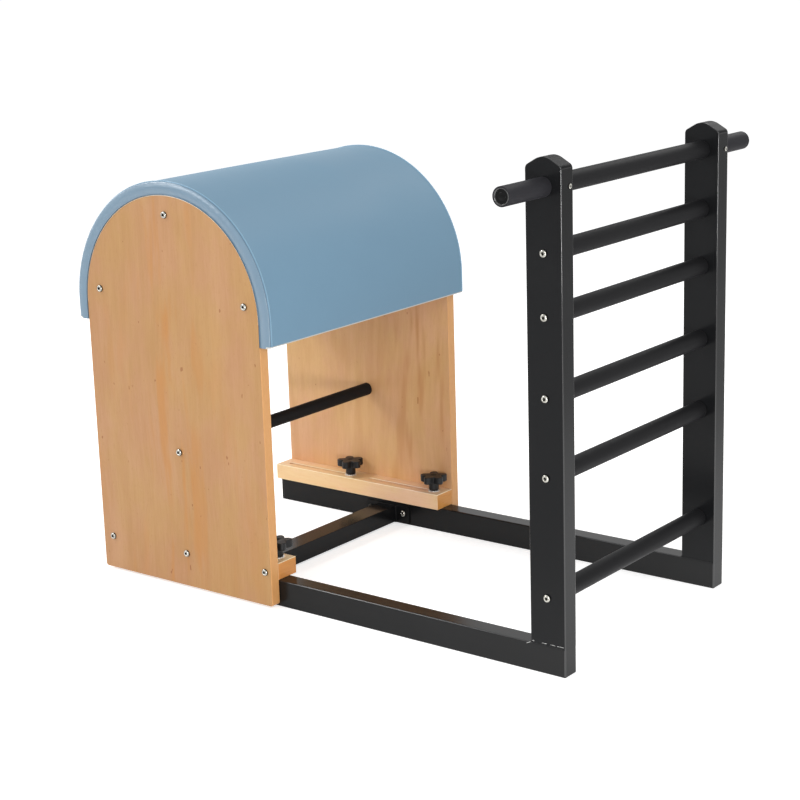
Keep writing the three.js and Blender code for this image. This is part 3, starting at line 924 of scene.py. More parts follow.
@dataclass(frozen=True)
class Finishes:
    """Every finish of the object."""

    powder_coat: Paint = Paint(
        "satin_black_powder_coat", Slot.PAINT, (0.0084, 0.0087, 0.0094, 1), (0.012, 0.0124, 0.013, 1),
        scuffs=0.5, grain=900.0, rough_low=0.15, rough_high=0.24, bump=0.15, specular=0.12)
    roof_coat: Paint = replace(
        powder_coat, name="powder_coat_on_gables", colour=(0.0075, 0.0078, 0.0084, 1),
        scuffed=(0.011, 0.0114, 0.012, 1), rough_low=0.38, rough_high=0.50, specular=0.05)
    powder_edge: Paint = replace(
        powder_coat, name="powder_coat_on_edges", colour=(0.0085, 0.0088, 0.0094, 1),
        rough_low=0.10, rough_high=0.17, bump=0.06, specular=0.62)
    rail_coat: Paint = replace(
        powder_coat, name="rail_black_powder_coat", colour=(0.0080, 0.0081, 0.0084, 1),
        rough_low=0.18, rough_high=0.28, specular=0.18)
    rung_coat: Paint = replace(
        powder_coat, name="rung_black_powder_coat", colour=(0.0140, 0.0140, 0.0150, 1),
        scuffed=(0.018, 0.0180, 0.0185, 1), grain=800.0, rough_low=0.45, rough_high=0.58, bump=0.40,
        specular=0.05)
    handle_coat: Paint = replace(
        rung_coat, name="handle_black_powder_coat", colour=(0.0270, 0.0265, 0.0300, 1),
        scuffed=(0.031, 0.0305, 0.0335, 1))
    knob_plastic: Paint = Paint(
        "knob_black_plastic", Slot.KNOB, (0.008, 0.008, 0.0085, 1), (0.013, 0.013, 0.0135, 1),
        scuffs=0.4, grain=1500.0, rough_low=0.38, rough_high=0.50, bump=0.3, specular=0.3)
    plug_plastic: Paint = Paint(
        "glossy_black_plug", Slot.PLUG, (0.003, 0.003, 0.0033, 1), (0.005, 0.005, 0.0055, 1),
        scuffs=0.3, grain=1100.0, rough_low=0.10, rough_high=0.18, bump=0.15, specular=0.15)
    plug_rim: Paint = replace(
        plug_plastic, name="glossy_plug_rim", colour=(0.006, 0.006, 0.0065, 1),
        scuffed=(0.009, 0.009, 0.0095, 1), rough_low=0.12, rough_high=0.20, bump=0.10, specular=1.0, coat=0.6)
    right_panel: Wood = Wood(
        "right_panel_veneer", Slot.PLY, (0.485, 0.274, 0.127, 1), (0.413, 0.215, 0.088, 1),
        (0.470, 0.208, 0.058, 1))
    # Painted light: paler than the near panel's veneer so that its dim inner face comes out bright, and its
    # dark streaks, strongest near x = -0.17 under the pad, paint the pad's shade; the grain is the wood's
    # own.
    left_panel_painted_light: Wood = Wood(
        "left_panel_veneer", Slot.PLY, (0.730, 0.448, 0.228, 1), (0.634, 0.352, 0.163, 1),
        (0.570, 0.280, 0.105, 1), streaks=1.0, heart=-0.17)
    shell: Wood = Wood(
        "bent_shell_veneer", Slot.PLY, (0.550, 0.300, 0.130, 1), (0.460, 0.235, 0.090, 1),
        (0.480, 0.220, 0.065, 1), Axis.Y, streaks=0.5, fibres=0.4)
    # Painted highlight: a pale lacquer on the rounded arch edge of the panels, where light catches it.
    panel_rim: Paint = Paint(
        "lacquered_panel_rim", Slot.PLY, (0.880, 0.720, 0.550, 1), (0.820, 0.640, 0.450, 1),
        scuffs=0.6, grain=400.0, rough_low=0.25, rough_high=0.40, bump=0.10, specular=0.6, coat=0.3)
    panel_edge: PlyEdge = PlyEdge(
        "sanded_ply_edge", Slot.PLY, (0.730, 0.375, 0.140, 1), (0.600, 0.270, 0.080, 1))
    cleat: Wood = Wood(
        "pale_cleat_wood", Slot.WOOD, (0.925, 0.650, 0.405, 1), (0.845, 0.540, 0.295, 1),
        (0.825, 0.460, 0.200, 1), Axis.X, figure=0.9, streaks=0.4)
    # Painted highlight: a pale wood on the cleats' rounded top edges, where light catches them.
    cleat_rim: Wood = Wood(
        "cleat_rim_wood", Slot.WOOD, (0.985, 0.860, 0.640, 1), (0.960, 0.800, 0.560, 1),
        (0.950, 0.760, 0.500, 1), Axis.X, figure=0.5, streaks=0.2, fibres=0.3, roughness=(0.22, 0.32))
    cleat_end: Wood = Wood(
        "cleat_end_grain", Slot.WOOD, (0.720, 0.315, 0.084, 1), (0.600, 0.235, 0.054, 1),
        (0.640, 0.230, 0.044, 1), Axis.Y, streaks=0.5, fibres=0.6)
    stringer: Wood = Wood(
        "pale_stringer_wood", Slot.WOOD, (0.740, 0.480, 0.265, 1), (0.640, 0.380, 0.185, 1),
        (0.660, 0.370, 0.160, 1), Axis.Y, figure=0.9, streaks=0.4)
    vinyl: Vinyl = Vinyl(
        "dusty_blue_vinyl", Slot.VINYL, (0.172, 0.298, 0.410, 1), (0.186, 0.318, 0.432, 1),
        roughness=(0.45, 0.56), specular=0.2)
    vinyl_band: Vinyl = Vinyl(
        "dusty_blue_side_band", Slot.VINYL, (0.132, 0.218, 0.300, 1), (0.144, 0.234, 0.318, 1),
        roughness=(0.27, 0.36), specular=1.0)
    # Painted highlight: a lighter vinyl on the welt's ridge, where light catches it.
    vinyl_welt: Vinyl = Vinyl(
        "dusty_blue_welt", Slot.VINYL, (0.235, 0.400, 0.535, 1), (0.250, 0.420, 0.555, 1), specular=0.6)
    # Painted shade: a darker vinyl in the seam's groove.
    vinyl_seam_shade_paint: Vinyl = Vinyl(
        "dusty_blue_seam", Slot.VINYL, (0.112, 0.190, 0.266, 1), (0.122, 0.205, 0.282, 1), specular=0.3)
    vinyl_hem: Vinyl = Vinyl(
        "pale_blue_hem", Slot.VINYL, (0.600, 0.590, 0.550, 1), (0.640, 0.630, 0.590, 1), specular=0.4)
    zinc: Zinc = Zinc(
        "bright_zinc_plate", Slot.ZINC, (0.46, 0.45, 0.41, 1), (0.26, 0.25, 0.22, 1), (0.10, 0.24))
    # Painted shade: a near-black zinc for the socket, rim and dome foot of each fastener, and for the bolts
    # behind the cross tube.
    painted_shade_zinc: Zinc = Zinc(
        "zinc_painted_shade", Slot.ZINC, (0.035, 0.033, 0.028, 1), (0.02, 0.02, 0.018, 1), (0.3, 0.5))
    # Partly painted highlight: the washer zinc is pale and only half metallic, so that its white stands in
    # for the washers' glints.
    washer: Zinc = Zinc(
        "washer_zinc", Slot.ZINC, (0.88, 0.87, 0.84, 1), (0.60, 0.59, 0.56, 1), (0.2, 0.35), metallic=0.5)
    chipped: Zinc = Zinc(
        "bare_weld_metal", Slot.ZINC, (0.42, 0.42, 0.41, 1), (0.05, 0.05, 0.05, 1), (0.35, 0.6))


class Dresser:
    """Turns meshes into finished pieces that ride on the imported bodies."""

    def __init__(self) -> None:
        """Starts with no material built."""
        self.made: dict[str, bpy.types.Material] = {}

    def material(self, finish: Finish) -> bpy.types.Material:
        """The material of a finish, built at its first use.

        Args:
            finish: The finish.

        Returns:
            Its material.
        """
        if finish.name not in self.made:
            self.made[finish.name] = finish.material()
        return self.made[finish.name]

    def dress(
        self, name: str, mesh: bpy.types.Mesh, finishes: Sequence[Finish], body: str,
        stands_for: Sequence[str],
    ) -> bpy.types.Object:
        """Makes a piece of a mesh.

        Args:
            name: The piece's name.
            mesh: Its mesh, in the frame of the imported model.
            finishes: Its finishes, in the order of the numbers that mark its faces, the main one first.
            body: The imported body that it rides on.
            stands_for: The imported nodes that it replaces.

        Returns:
            The piece.
        """
        piece = bpy.data.objects.new(name, mesh)
        bpy.context.scene.collection.objects.link(piece)
        for each in finishes:
            mesh.materials.append(self.material(each))
        even = piece.modifiers.new("even_normals", "WEIGHTED_NORMAL")
        even.keep_sharp = True
        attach(piece, body)
        if stands_for:
            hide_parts(*stands_for)
        LOG.info("%s: %d faces on %s", name, len(mesh.polygons), body)
        return piece


# Sub-assemblies


@dataclass
class Fastener:
    """A button-head bolt or round-head screw with a hexagon socket."""

    head: float = 15.5 * MM
    height: float = 4.4 * MM
    rim: float = 1.1 * MM
    flat: float = 9.4 * MM
    socket: float = 6.2 * MM
    socket_depth: float = 2.8 * MM
    seat_bevel: float = 0.2 * MM
    mouth_bevel: float = 0.25 * MM
    socket_point: float = 0.5 * MM
    dome_steps: int = 6
    steps: int = 36

    def hexagon(self, angle: float) -> float:
        """The distance from the centre to the socket's wall at an angle."""
        sixth = math.pi / 3
        return self.socket / 2 / math.cos((angle % sixth) - sixth / 2)

    def mesh(self, name: str, axis: Axis, seat: Vector, outward: float, length: float) -> bpy.types.Mesh:
        """Builds the fastener; its underside, its rim, the foot of its dome and its socket take the second
        finish, a dark zinc that paints shade there.

        Args:
            name: The mesh's name.
            axis: The axis that it lies along.
            seat: The middle of its head's underside.
            outward: The sign of the direction that the head faces.
            length: The shank's length.

        Returns:
            The mesh.
        """
        angles = [math.tau * i / self.steps for i in range(self.steps)]
        shank = self.head / 4
        top = self.height
        half = self.head / 2
        flat = self.flat / 2
        turns = [math.pi / 2 * i / self.dome_steps for i in range(self.dome_steps + 1)]
        rise = top - self.rim
        dome = [(flat + (half - flat) * math.cos(a), self.rim + rise * math.sin(a)) for a in turns]
        outside = [(0.0, -length), (shank, -length), (shank, 0.0), (half - self.seat_bevel, 0.0),
                   (half, self.seat_bevel), *dome]
        reaches = [([radius] * self.steps, height) for radius, height in outside]
        hexagon = [self.hexagon(a) for a in angles]
        reaches.append(([r + self.mouth_bevel for r in hexagon], top))
        floor = top - self.socket_depth
        for share, height in ((1.0, top - self.mouth_bevel), (1.0, floor), (0.0, floor - self.socket_point)):
            reaches.append(([share * r for r in hexagon], height))
        rings = [
            [seat + along(axis, r * math.cos(a), r * math.sin(a), outward * height)
             for r, a in zip(reach, angles)]
            for reach, height in reaches
        ]
        bm = bmesh.new()
        # Painted shade: the underside, the rim and the foot of the dome, and the socket's walls and floor,
        # take the dark zinc.
        underside = range(2, 7)
        inside = range(len(rings) - 3, len(rings) - 1)
        join_rings(bm, rings, cap=False, marked=[*underside, *inside])
        return mesh_of(name, bm, crease=30)

    def in_node(self, node: str, side: Side, inward: bool = False) -> bpy.types.Mesh:
        """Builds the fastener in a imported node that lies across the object.

        Args:
            node: The node's name.
            side: The side that it is on.
            inward: Whether its head faces the object's middle.

        Returns:
            The mesh.
        """
        box = span(node)
        seat = box.centre
        seat.y = side.value * (inner_face(box) + self.height if inward else outer_face(box) - self.height)
        return self.mesh(node, Axis.Y, seat, -side.value if inward else side.value, box.size.y - self.height)


@dataclass
class Assembly:
    """What every sub-assembly shares: the dresser, the finishes and the body that its pieces ride on."""

    dresser: Dresser
    looks: Finishes

    body: ClassVar[str] = "frame"

    def dress(
        self, name: str, mesh: bpy.types.Mesh, nodes: Sequence[str], *finishes: Finish, body: str = "",
    ) -> bpy.types.Object:
        """Makes a piece of a mesh.

        Args:
            name: The piece's name.
            mesh: Its mesh.
            nodes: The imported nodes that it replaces.
            finishes: Its finishes, the main one first.
            body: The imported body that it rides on, where that isn't the sub-assembly's own.

        Returns:
            The piece.
        """
        return self.dresser.dress(name, mesh, finishes, body or self.body, nodes)


@dataclass
class BaseFrame(Assembly):
    """The two rails, their plugs, the cross member and its bolts and welds."""

    tube_corner: float = 2.6 * MM
    end_edge: float = 2.6 * MM
    plug_edge: float = 1.4 * MM
    plug_seat: float = 0.2 * MM
    cross_corner: float = 2.0 * MM
    cross_edge: float = 0.5 * MM
    plate: tuple[float, float, float] = (134 * MM, 44 * MM, 4 * MM)
    plate_corner: float = 5.0 * MM
    plate_edge: float = 0.8 * MM
    cross_tube: tuple[float, float] = (54 * MM, 41 * MM)
    cross_top: float = 45 * MM
    weld: float = 2.2 * MM
    weld_step: float = 1.5 * MM
    weld_ripple: float = 0.25

    def rails(self) -> None:
        """Both rails with the plugs in their barrel ends."""
        for side in Side:
            node = f"base_rail_{side.label}"
            box = span(node)
            outline = rectangle_outline(box.size.y, box.size.z, self.tube_corner)
            mesh = bar(node, Axis.X, outline, box, self.end_edge)
            mark(mesh, 1, lambda face: abs(face.normal.x) > 0.9)
            mark(mesh, 2, lambda face: 0.1 < abs(face.normal.y) < 0.99 and face.normal.z > -0.1)
            self.dress(f"rail_tube_{side.label}", mesh, [node], self.looks.rail_coat, self.looks.powder_coat,
                       self.looks.powder_edge)
            node = f"rail_end_plug_{side.label}"
            plug = span(node)
            outline = rectangle_outline(plug.size.y, plug.size.z, self.tube_corner)
            outside = Span(plug.low, Vector((box.low.x - self.plug_seat, plug.high.y, plug.high.z)))
            mesh = bar(node, Axis.X, outline, outside, self.plug_edge)
            self.dress(f"rail_plug_{side.label}", mesh, [node], self.looks.plug_plastic)

    def cross_member(self) -> None:
        """The cross tube with its two bolted plates, as one welded piece."""
        box = span("cross_member")
        width, height = self.cross_tube
        length, tall, thick = self.plate
        low = Vector((box.centre.x - width / 2, box.low.y + thick / 2, self.cross_top - height))
        high = Vector((box.centre.x + width / 2, box.high.y - thick / 2, self.cross_top))
        outline = rectangle_outline(width, height, self.cross_corner)
        tube = bar("cross_tube", Axis.Y, outline, Span(low, high), self.cross_edge)
        self.dress("cross_tube", tube, ["cross_member"], self.looks.powder_coat)
        section = rounded_rectangle(width, height, self.cross_corner)
        middle = self.cross_top - height / 2
        for side in Side:
            face = box.high.y - thick if side is Side.LEFT else box.low.y
            plate_box = Span(Vector((box.centre.x - length / 2, face, box.low.z)),
                             Vector((box.centre.x + length / 2, face + thick, box.low.z + tall)))
            outline = rectangle_outline(length, tall, self.plate_corner)
            mesh = bar("plate", Axis.Y, outline, plate_box, self.plate_edge)
            self.dress(f"cross_plate_{side.label}", mesh, [], self.looks.powder_coat)
            inner = side.value * (box.high.y - thick)
            corners = [Vector((box.centre.x + u, inner, middle + v)) for u, v in section]
            seam = bead("weld", walk(corners, self.weld_step, True), self.weld, True, self.weld_ripple)
            self.dress(f"cross_weld_{side.label}", seam, [], self.looks.powder_coat)

    def bolts(self) -> None:
        """The four bolts through the plates; those on the barrel's side take the dark zinc, which paints the
        shade that they lie in.
        """
        bolt = Fastener()
        for side in Side:
            for number in (1, 2):
                node = f"cross_bolt_{side.label}_{number}"
                shaded = span(node).centre.x < span("cross_member").centre.x
                # Painted shade: the bolts behind the tube take the dark zinc.
                plate = self.looks.painted_shade_zinc if shaded else self.looks.zinc
                self.dress(f"cross_bolt_head_{side.label}_{number}", bolt.in_node(node, side, inward=True),
                           [node], plate, self.looks.painted_shade_zinc)

    def build(self) -> None:
        """Builds the whole base."""
        self.rails()
        self.cross_member()
        self.bolts()


@dataclass
class Ladder(Assembly):
    """The uprights, rungs and top bar with what fastens them."""

    corner: float = 2.0 * MM
    foot_reach: float = 3.0 * MM
    roof_edge: float = 2.2 * MM
    roof_share: float = 0.6
    gable_rise: float = 23 * MM
    gable_radius: float = 37 * MM
    shoulder_radius: float = 10 * MM
    depth: float = 80 * MM
    rung_edge: float = 0.8 * MM
    bar_wall: float = 2.0 * MM
    bar_edge: float = 0.7 * MM
    bar_edge_share: float = 0.3
    bar_floor_gap: float = 1 * MM
    plug_rim: float = 2.6 * MM
    plug_dish: float = 2.2 * MM
    plug_bevel: float = 0.6 * MM
    rim_bevel: float = 0.5 * MM
    rim_slope: float = 0.8 * MM
    bright_rim: float = 1.2 * MM
    boss_shares: tuple[float, float] = (0.55, 0.5)
    boss_rises: tuple[float, float] = (0.5 * MM, 0.8 * MM)
    weld: float = 2.6 * MM
    weld_step: float = 1.2 * MM
    weld_ripple: float = 0.35
    weld_inset_share: float = 0.75
    weld_start_share: float = 2
    weld_corner_share: float = 0.2
    chips: tuple[tuple[float, float, float, float], ...] = (
        (-10, 0, -5, 0), (4, 9, 3.4, 3.2), (26, 37, 3.0, 3.3), (46, 57, 3.4, 3.0), (62, 77, 3.1, 3.4))
    chip_radius: float = 0.55 * MM
    chip_step: float = 0.8 * MM
    chip_ripple: float = 0.9
    rungs: int = 5

    def gable(self, top: float) -> list[Point]:
        """Half the gable's outline, from the shoulder to the ridge.

        Args:
            top: The height of the ridge.

        Returns:
            Pairs of half depth and height.
        """
        half = self.depth / 2
        slope = math.atan2(self.gable_rise, half)
        ridge = top + self.gable_radius * (1 / math.cos(slope) - 1)
        shoulder = ridge - half * math.tan(slope)
        reach = self.shoulder_radius * math.tan((math.pi / 2 - slope) / 2)
        upright_end = (half - self.shoulder_radius, shoulder - reach)
        start = arc(upright_end, self.shoulder_radius, 0, math.pi / 2 - slope, 8)
        middle = (0.0, top - self.gable_radius)
        finish = arc(middle, self.gable_radius, math.pi / 2 - slope, math.pi / 2 - 0.02, 10)
        return [*start, *finish]

    def uprights(self) -> None:
        """Both uprights, each with a gabled top and a weld at its foot."""
        for side in Side:
            node = f"ladder_upright_{side.label}"
            box = span(node)
            middle = Vector((box.high.x - self.depth / 2, box.centre.y, 0.0))
            gable = self.gable(box.high.z)
            first = gable[0][1]
            stations = [(self.depth / 2, box.low.z - self.foot_reach, self.corner),
                        (self.depth / 2, first - 6 * self.corner, self.corner)]
            for reach, height in gable:
                share = min(1.0, (height - first) / (self.roof_share * self.shoulder_radius))
                stations.append((reach, height, self.corner + (self.roof_edge - self.corner) * share))
            rings: Rings = []
            for reach, height, corner in stations:
                outline = rounded_rectangle(2 * reach, box.size.y, min(corner, reach * 0.9))
                rings.append([middle + along(Axis.Z, u, v, height) for u, v in outline])
            bm = bmesh.new()
            join_rings(bm, rings)
            mesh = mesh_of(node, bm)
            mark(mesh, 1, lambda face: 0.1 < abs(face.normal.y) < 0.99)
            mark(mesh, 2, lambda face: face.normal.z > 0.3 and abs(face.normal.y) < 0.1)
            looks = self.looks
            finishes = (looks.powder_coat, looks.powder_edge, looks.roof_coat)
            self.dress(f"upright_tube_{side.label}", mesh, [node], *finishes)
            self.foot_weld(side, box)

    def foot_weld(self, side: Side, box: Span) -> None:
        """The weld round three sides of an upright's foot, with bare metal where the coat has chipped.

        Args:
            side: The upright's side.
            box: The upright's box.
        """
        inset = self.weld_inset_share * self.weld
        height = box.low.z
        back = box.high.x - self.depth
        low, high = box.centre.y - box.size.y / 2, box.centre.y + box.size.y / 2
        start = box.high.x - self.weld_start_share * inset
        end = back + self.weld_corner_share * inset
        corners = [Vector((x, y, height)) for x, y in (
            (start, low + inset), (end, low + inset), (end, high - inset), (start, high - inset))]
        mesh = bead("weld", walk(corners, self.weld_step, False), self.weld, False, self.weld_ripple)
        self.dress(f"foot_weld_{side.label}", mesh, [], self.looks.powder_coat)
        face = high if side is Side.LEFT else low
        for number, (start, stop, first, last) in enumerate(self.chips, 1):
            ends = [Vector((back + x * MM, face, height + z * MM)) for x, z in ((start, first), (stop, last))]
            chip = bead("chip", walk(ends, self.chip_step, False), self.chip_radius, False, self.chip_ripple)
            self.dress(f"weld_chip_{side.label}_{number}", chip, [], self.looks.chipped)

    def round_bars(self) -> None:
        """The rungs, and the top bar with its recessed ends."""
        for number in range(1, self.rungs + 1):
            node = f"rung_{number}"
            self.dress(f"rung_tube_{number}", round_tube(node, self.rung_edge), [node], self.looks.rung_coat)
        box = span("top_bar")
        radius = box.size.z / 2
        inner = radius - self.bar_wall
        half = box.size.y / 2
        bottom = half - span("top_bar_plug_left").size.y - self.bar_floor_gap
        handle = span("ladder_upright_left").centre.y
        edge = self.bar_edge
        bevel = self.bar_edge_share * edge
        lip = [(0.0, bottom), (inner, bottom), (inner, half - edge / 2), (inner + edge / 2, half),
               (radius - edge, half), (radius - bevel, half - bevel), (radius, half - edge), (radius, handle)]
        profile = [(r, -h) for r, h in lip] + [(r, h) for r, h in reversed(lip)]
        mesh = turned("top_bar", Axis.Y, box.centre, profile, 64)
        mark(mesh, 1, lambda face: abs(face.center.y) > handle)
        self.dress("top_bar_tube", mesh, ["top_bar"], self.looks.rung_coat, self.looks.handle_coat)

    def bar_plugs(self) -> None:
        """The dished end plugs of the top bar."""
        for side in Side:
            node = f"top_bar_plug_{side.label}"
            box = span(node)
            radius = box.size.z / 2
            rim = radius - self.plug_rim
            dish = -self.plug_dish
            profile = [(0.0, -box.size.y), (radius, -box.size.y), (radius, -self.plug_bevel),
                       (radius - self.rim_bevel, 0.0), (rim + self.plug_bevel, 0.0), (rim, -self.rim_bevel),
                       (rim - self.rim_slope, dish), (self.boss_shares[0] * rim, dish),
                       (self.boss_shares[1] * rim, dish + self.boss_rises[0]),
                       (0.0, dish + self.boss_rises[1])]
            face = box.centre
            face.y = side.value * outer_face(box)
            mesh = turned(node, Axis.Y, face, [(r, side.value * h) for r, h in profile])
            bright = rim - self.bright_rim
            mark(mesh, 1, lambda each: math.hypot(each.center.x - face.x, each.center.z - face.z) > bright
                 and abs(each.normal.y) > 0.1)
            self.dress(f"bar_plug_{side.label}", mesh, [node], self.looks.plug_plastic, self.looks.plug_rim)

    def fasteners(self) -> None:
        """The rung bolts and the top bar's locking screws."""
        bolt = Fastener()
        screw = Fastener(head=10.5 * MM, height=2.1 * MM, rim=0.5 * MM, flat=4.4 * MM, socket=3.0 * MM,
                         socket_depth=1.3 * MM)
        for side in Side:
            for number in range(1, self.rungs + 1):
                node = f"rung_bolt_{side.label}_{number}"
                self.dress(f"rung_bolt_head_{side.label}_{number}", bolt.in_node(node, side), [node],
                           self.looks.zinc, self.looks.painted_shade_zinc)
            node = f"top_bar_screw_{side.label}"
            box = span(node)
            seat = box.centre
            seat.x = box.high.x - screw.height
            mesh = screw.mesh(node, Axis.X, seat, 1, box.size.x - screw.height)
            self.dress(f"bar_screw_head_{side.label}", mesh, [node], self.looks.zinc, self.looks.painted_shade_zinc)

    def build(self) -> None:
        """Builds the whole ladder."""
        self.uprights()
        self.round_bars()
        self.bar_plugs()
        self.fasteners()


@dataclass
class Barrel(Assembly):
    """The wooden barrel: panels, cleats, shell, stringers, spreader bar and bolts."""

    body: ClassVar[str] = "barrel"

    panel_corner: float = 6 * MM
    panel_edge: float = 1.8 * MM
    rim_drop: float = 20 * MM
    bolt_hole: float = 8.6 * MM
    shell_legs: tuple[float, float] = (46 * MM, 37 * MM)
    shell_thickness: float = 9 * MM
    shell_edge: float = 0.6 * MM
    stringer_section: tuple[float, float] = (60 * MM, 40 * MM)
    stringer_gap: float = 0.4 * MM
    stringer_corner: float = 2 * MM
    stringer_edge: float = 1 * MM
    cleat_corner: float = 1.2 * MM
    cleat_edge: float = 1.2 * MM
    slot_width: float = 10 * MM
    slot_length: float = 205 * MM
    slot_shift: float = 129 * MM
    slot_inset: float = 34 * MM
    spreader_edge: float = 0.6 * MM
    arch_steps: int = 96
    holds: tuple[str, ...] = (
        "stringer_front", "stringer_top", "stringer_back", "spreader",
        "cleat_back", "cleat_middle", "cleat_front")

    @property
    def arch(self) -> tuple[Vector, float]:
        """The arch's centre at mid width, and its radius."""
        box = span("end_panel_left")
        return Vector((box.centre.x, 0.0, box.high.z - box.size.x / 2)), box.size.x / 2

    def bolt_spot(self, side: Side, hold: str) -> Vector:
        """Where a panel bolt stands, from the arch's centre."""
        return span(f"panel_bolt_{side.label}_{hold}").centre - self.arch[0]

    def panel_outline(self, foot: float) -> Outline:
        """A panel about the arch's centre, shrunk by an inset.

        Args:
            foot: The height of the panel's foot, from the arch's centre.

        Returns:
            The outline.
        """
        radius = self.arch[1]
        corner = self.panel_corner

        def outline(inset: float) -> list[Point]:
            """The points for an inset.

            Args:
                inset: How far the outline shrinks.

            Returns:
                The points.
            """
            half = radius - inset
            low = foot + inset + corner
            return [
                *arc((0.0, 0.0), half, 0, math.pi, self.arch_steps),
                *arc((corner - half, low), corner, math.pi, 1.5 * math.pi, 6),
                *arc((half - corner, low), corner, 1.5 * math.pi, 2 * math.pi, 6),
            ]

        return outline

    def bolt_outline(self, side: Side, hold: str) -> Outline:
        """A panel's bolt hole about the arch's centre, shrunk by an inset."""
        spot = self.bolt_spot(side, hold)
        return lambda inset: circle(self.bolt_hole / 2 - inset, (spot.x, spot.z), 20)

    def panels(self) -> None:
        """Both arched panels with their bolt holes."""
        centre, _ = self.arch
        for side in Side:
            node = f"end_panel_{side.label}"
            box = span(node)
            holes = [self.bolt_outline(side, hold) for hold in self.holds]
            origin = Vector((centre.x, box.low.y, centre.z))
            outline = self.panel_outline(box.low.z - centre.z)
            mesh = slab(node, Axis.Y, origin, outline, holes, box.size.y, self.panel_edge)
            lowest = centre.z - self.rim_drop
            mark(mesh, 1, lambda face: abs(face.normal.y) < 0.9)
            # The rounded arch edge, down to rim_drop below the centre, takes the pale rim lacquer as a
            # painted highlight.
            mark(mesh, 2, lambda face: 0.1 < abs(face.normal.y) < 0.985 and face.center.z > lowest)
            looks = self.looks
            veneer = looks.left_panel_painted_light if side is Side.LEFT else looks.right_panel
            self.dress(f"ply_panel_{side.label}", mesh, [node], veneer, looks.panel_edge, looks.panel_rim)

    def slot_outline(self, along_rail: float, across: float) -> Outline:
        """A cleat's slot about the cleat's middle, which shrinks by an inset.

        Args:
            along_rail: The slot's place along the rail.
            across: Its place across the rail.

        Returns:
            The outline.
        """
        ring = rectangle_outline(self.slot_length, self.slot_width, self.slot_width / 2, 8)
        return lambda inset: [(along_rail + u, across + v) for u, v in ring(inset)]

    def cleats(self) -> None:
        """Both cleats with their two clamping slots."""
        centre, _ = self.arch
        for side in Side:
            node = f"cleat_{side.label}"
            box = span(node)
            inner = side.value * inner_face(span(f"end_panel_{side.label}"))
            across = inner - side.value * self.slot_inset - box.centre.y
            slots = [self.slot_outline(centre.x + shift - box.centre.x, across)
                     for shift in (self.slot_shift, -self.slot_shift)]
            origin = Vector((box.centre.x, box.centre.y, box.low.z))
            outline = rectangle_outline(box.size.x, box.size.y, self.cleat_corner)
            mesh = slab(node, Axis.Z, origin, outline, slots, box.size.z, self.cleat_edge)
            mark(mesh, 1, lambda face: abs(face.normal.x) > 0.9)
            # The rounded top edges take the pale rim wood as a painted highlight.
            mark(mesh, 2, lambda face: 0.2 < face.normal.z < 0.95)
            self.dress(f"slotted_cleat_{side.label}", mesh, [node], self.looks.cleat, self.looks.cleat_end,
                       self.looks.cleat_rim)

    def shell_outline(self, inset: float) -> list[Point]:
        """The shell's section about the arch's centre.

        Args:
            inset: How far it shrinks.

        Returns:
            The points.
        """
        radius = self.arch[1]
        outer = radius - inset
        inner = radius - self.shell_thickness + inset
        front, back = (inset - leg for leg in self.shell_legs)
        return [
            (outer, front), *arc((0.0, 0.0), outer, 0, math.pi, self.arch_steps), (-outer, back),
            (-inner, back), *arc((0.0, 0.0), inner, math.pi, 0, self.arch_steps), (inner, front),
        ]

    def shell(self) -> None:
        """The bent shell below the pad."""
        centre, _ = self.arch
        box = span("barrel_shell")
        origin = Vector((centre.x, box.low.y, centre.z))
        mesh = slab("barrel_shell", Axis.Y, origin, self.shell_outline, [], box.size.y, self.shell_edge)
        for polygon in mesh.polygons:
            polygon.use_smooth = True
        self.dress("bent_shell", mesh, ["barrel_shell"], self.looks.shell)

    def stringer_outline(self, turn: float) -> Outline:
        """A stringer's section about the arch's centre.

        Args:
            turn: The angle from the arch's top to the stringer.

        Returns:
            The outline.
        """
        depth, width = self.stringer_section
        outer = self.arch[1] - self.shell_thickness - self.stringer_gap
        half_angle = math.asin(width / 2 / outer)
        edge = self.stringer_corner
        c, s = math.cos(turn), math.sin(turn)

        def outline(inset: float) -> list[Point]:
            """The points for an inset.

            Args:
                inset: How far the section shrinks.

            Returns:
                The points.
            """
            half = width / 2 - inset
            swing = half_angle * half * 2 / width
            crown = arc((0.0, 0.0), outer - inset, math.pi / 2 - swing, math.pi / 2 + swing, 6)
            foot = outer - depth + inset
            left = arc((edge - half, foot + edge), edge, math.pi, 1.5 * math.pi, 4)
            right = arc((half - edge, foot + edge), edge, 1.5 * math.pi, 2 * math.pi, 4)
            return [(u * c - v * s, u * s + v * c) for u, v in [*crown, *left, *right]]

        return outline

    def stringers(self) -> None:
        """The three stringers, each turned to its place round the arch."""
        centre, _ = self.arch
        for place in ("front", "top", "back"):
            node = f"stringer_{place}"
            box = span(node)
            spot = self.bolt_spot(Side.LEFT, node)
            outline = self.stringer_outline(math.atan2(spot.z, spot.x) - math.pi / 2)
            origin = Vector((centre.x, box.low.y, centre.z))
            mesh = slab(node, Axis.Y, origin, outline, [], box.size.y, self.stringer_edge)
            self.dress(f"stringer_bar_{place}", mesh, [node], self.looks.stringer)

    def spreader(self) -> None:
        """The steel tube between the panels."""
        mesh = round_tube("spreader_bar", self.spreader_edge)
        self.dress("spreader_tube", mesh, ["spreader_bar"], self.looks.rung_coat)

    def bolts(self) -> None:
        """The seven bolts of each panel."""
        bolt = Fastener()
        for side in Side:
            for hold in self.holds:
                node = f"panel_bolt_{side.label}_{hold}"
                self.dress(f"panel_bolt_head_{side.label}_{hold}", bolt.in_node(node, side), [node],
                           self.looks.zinc, self.looks.painted_shade_zinc)

    def build(self) -> None:
        """Builds the whole barrel but for its pad."""
        self.panels()
        self.cleats()
        self.shell()
        self.stringers()
        self.spreader()
        self.bolts()


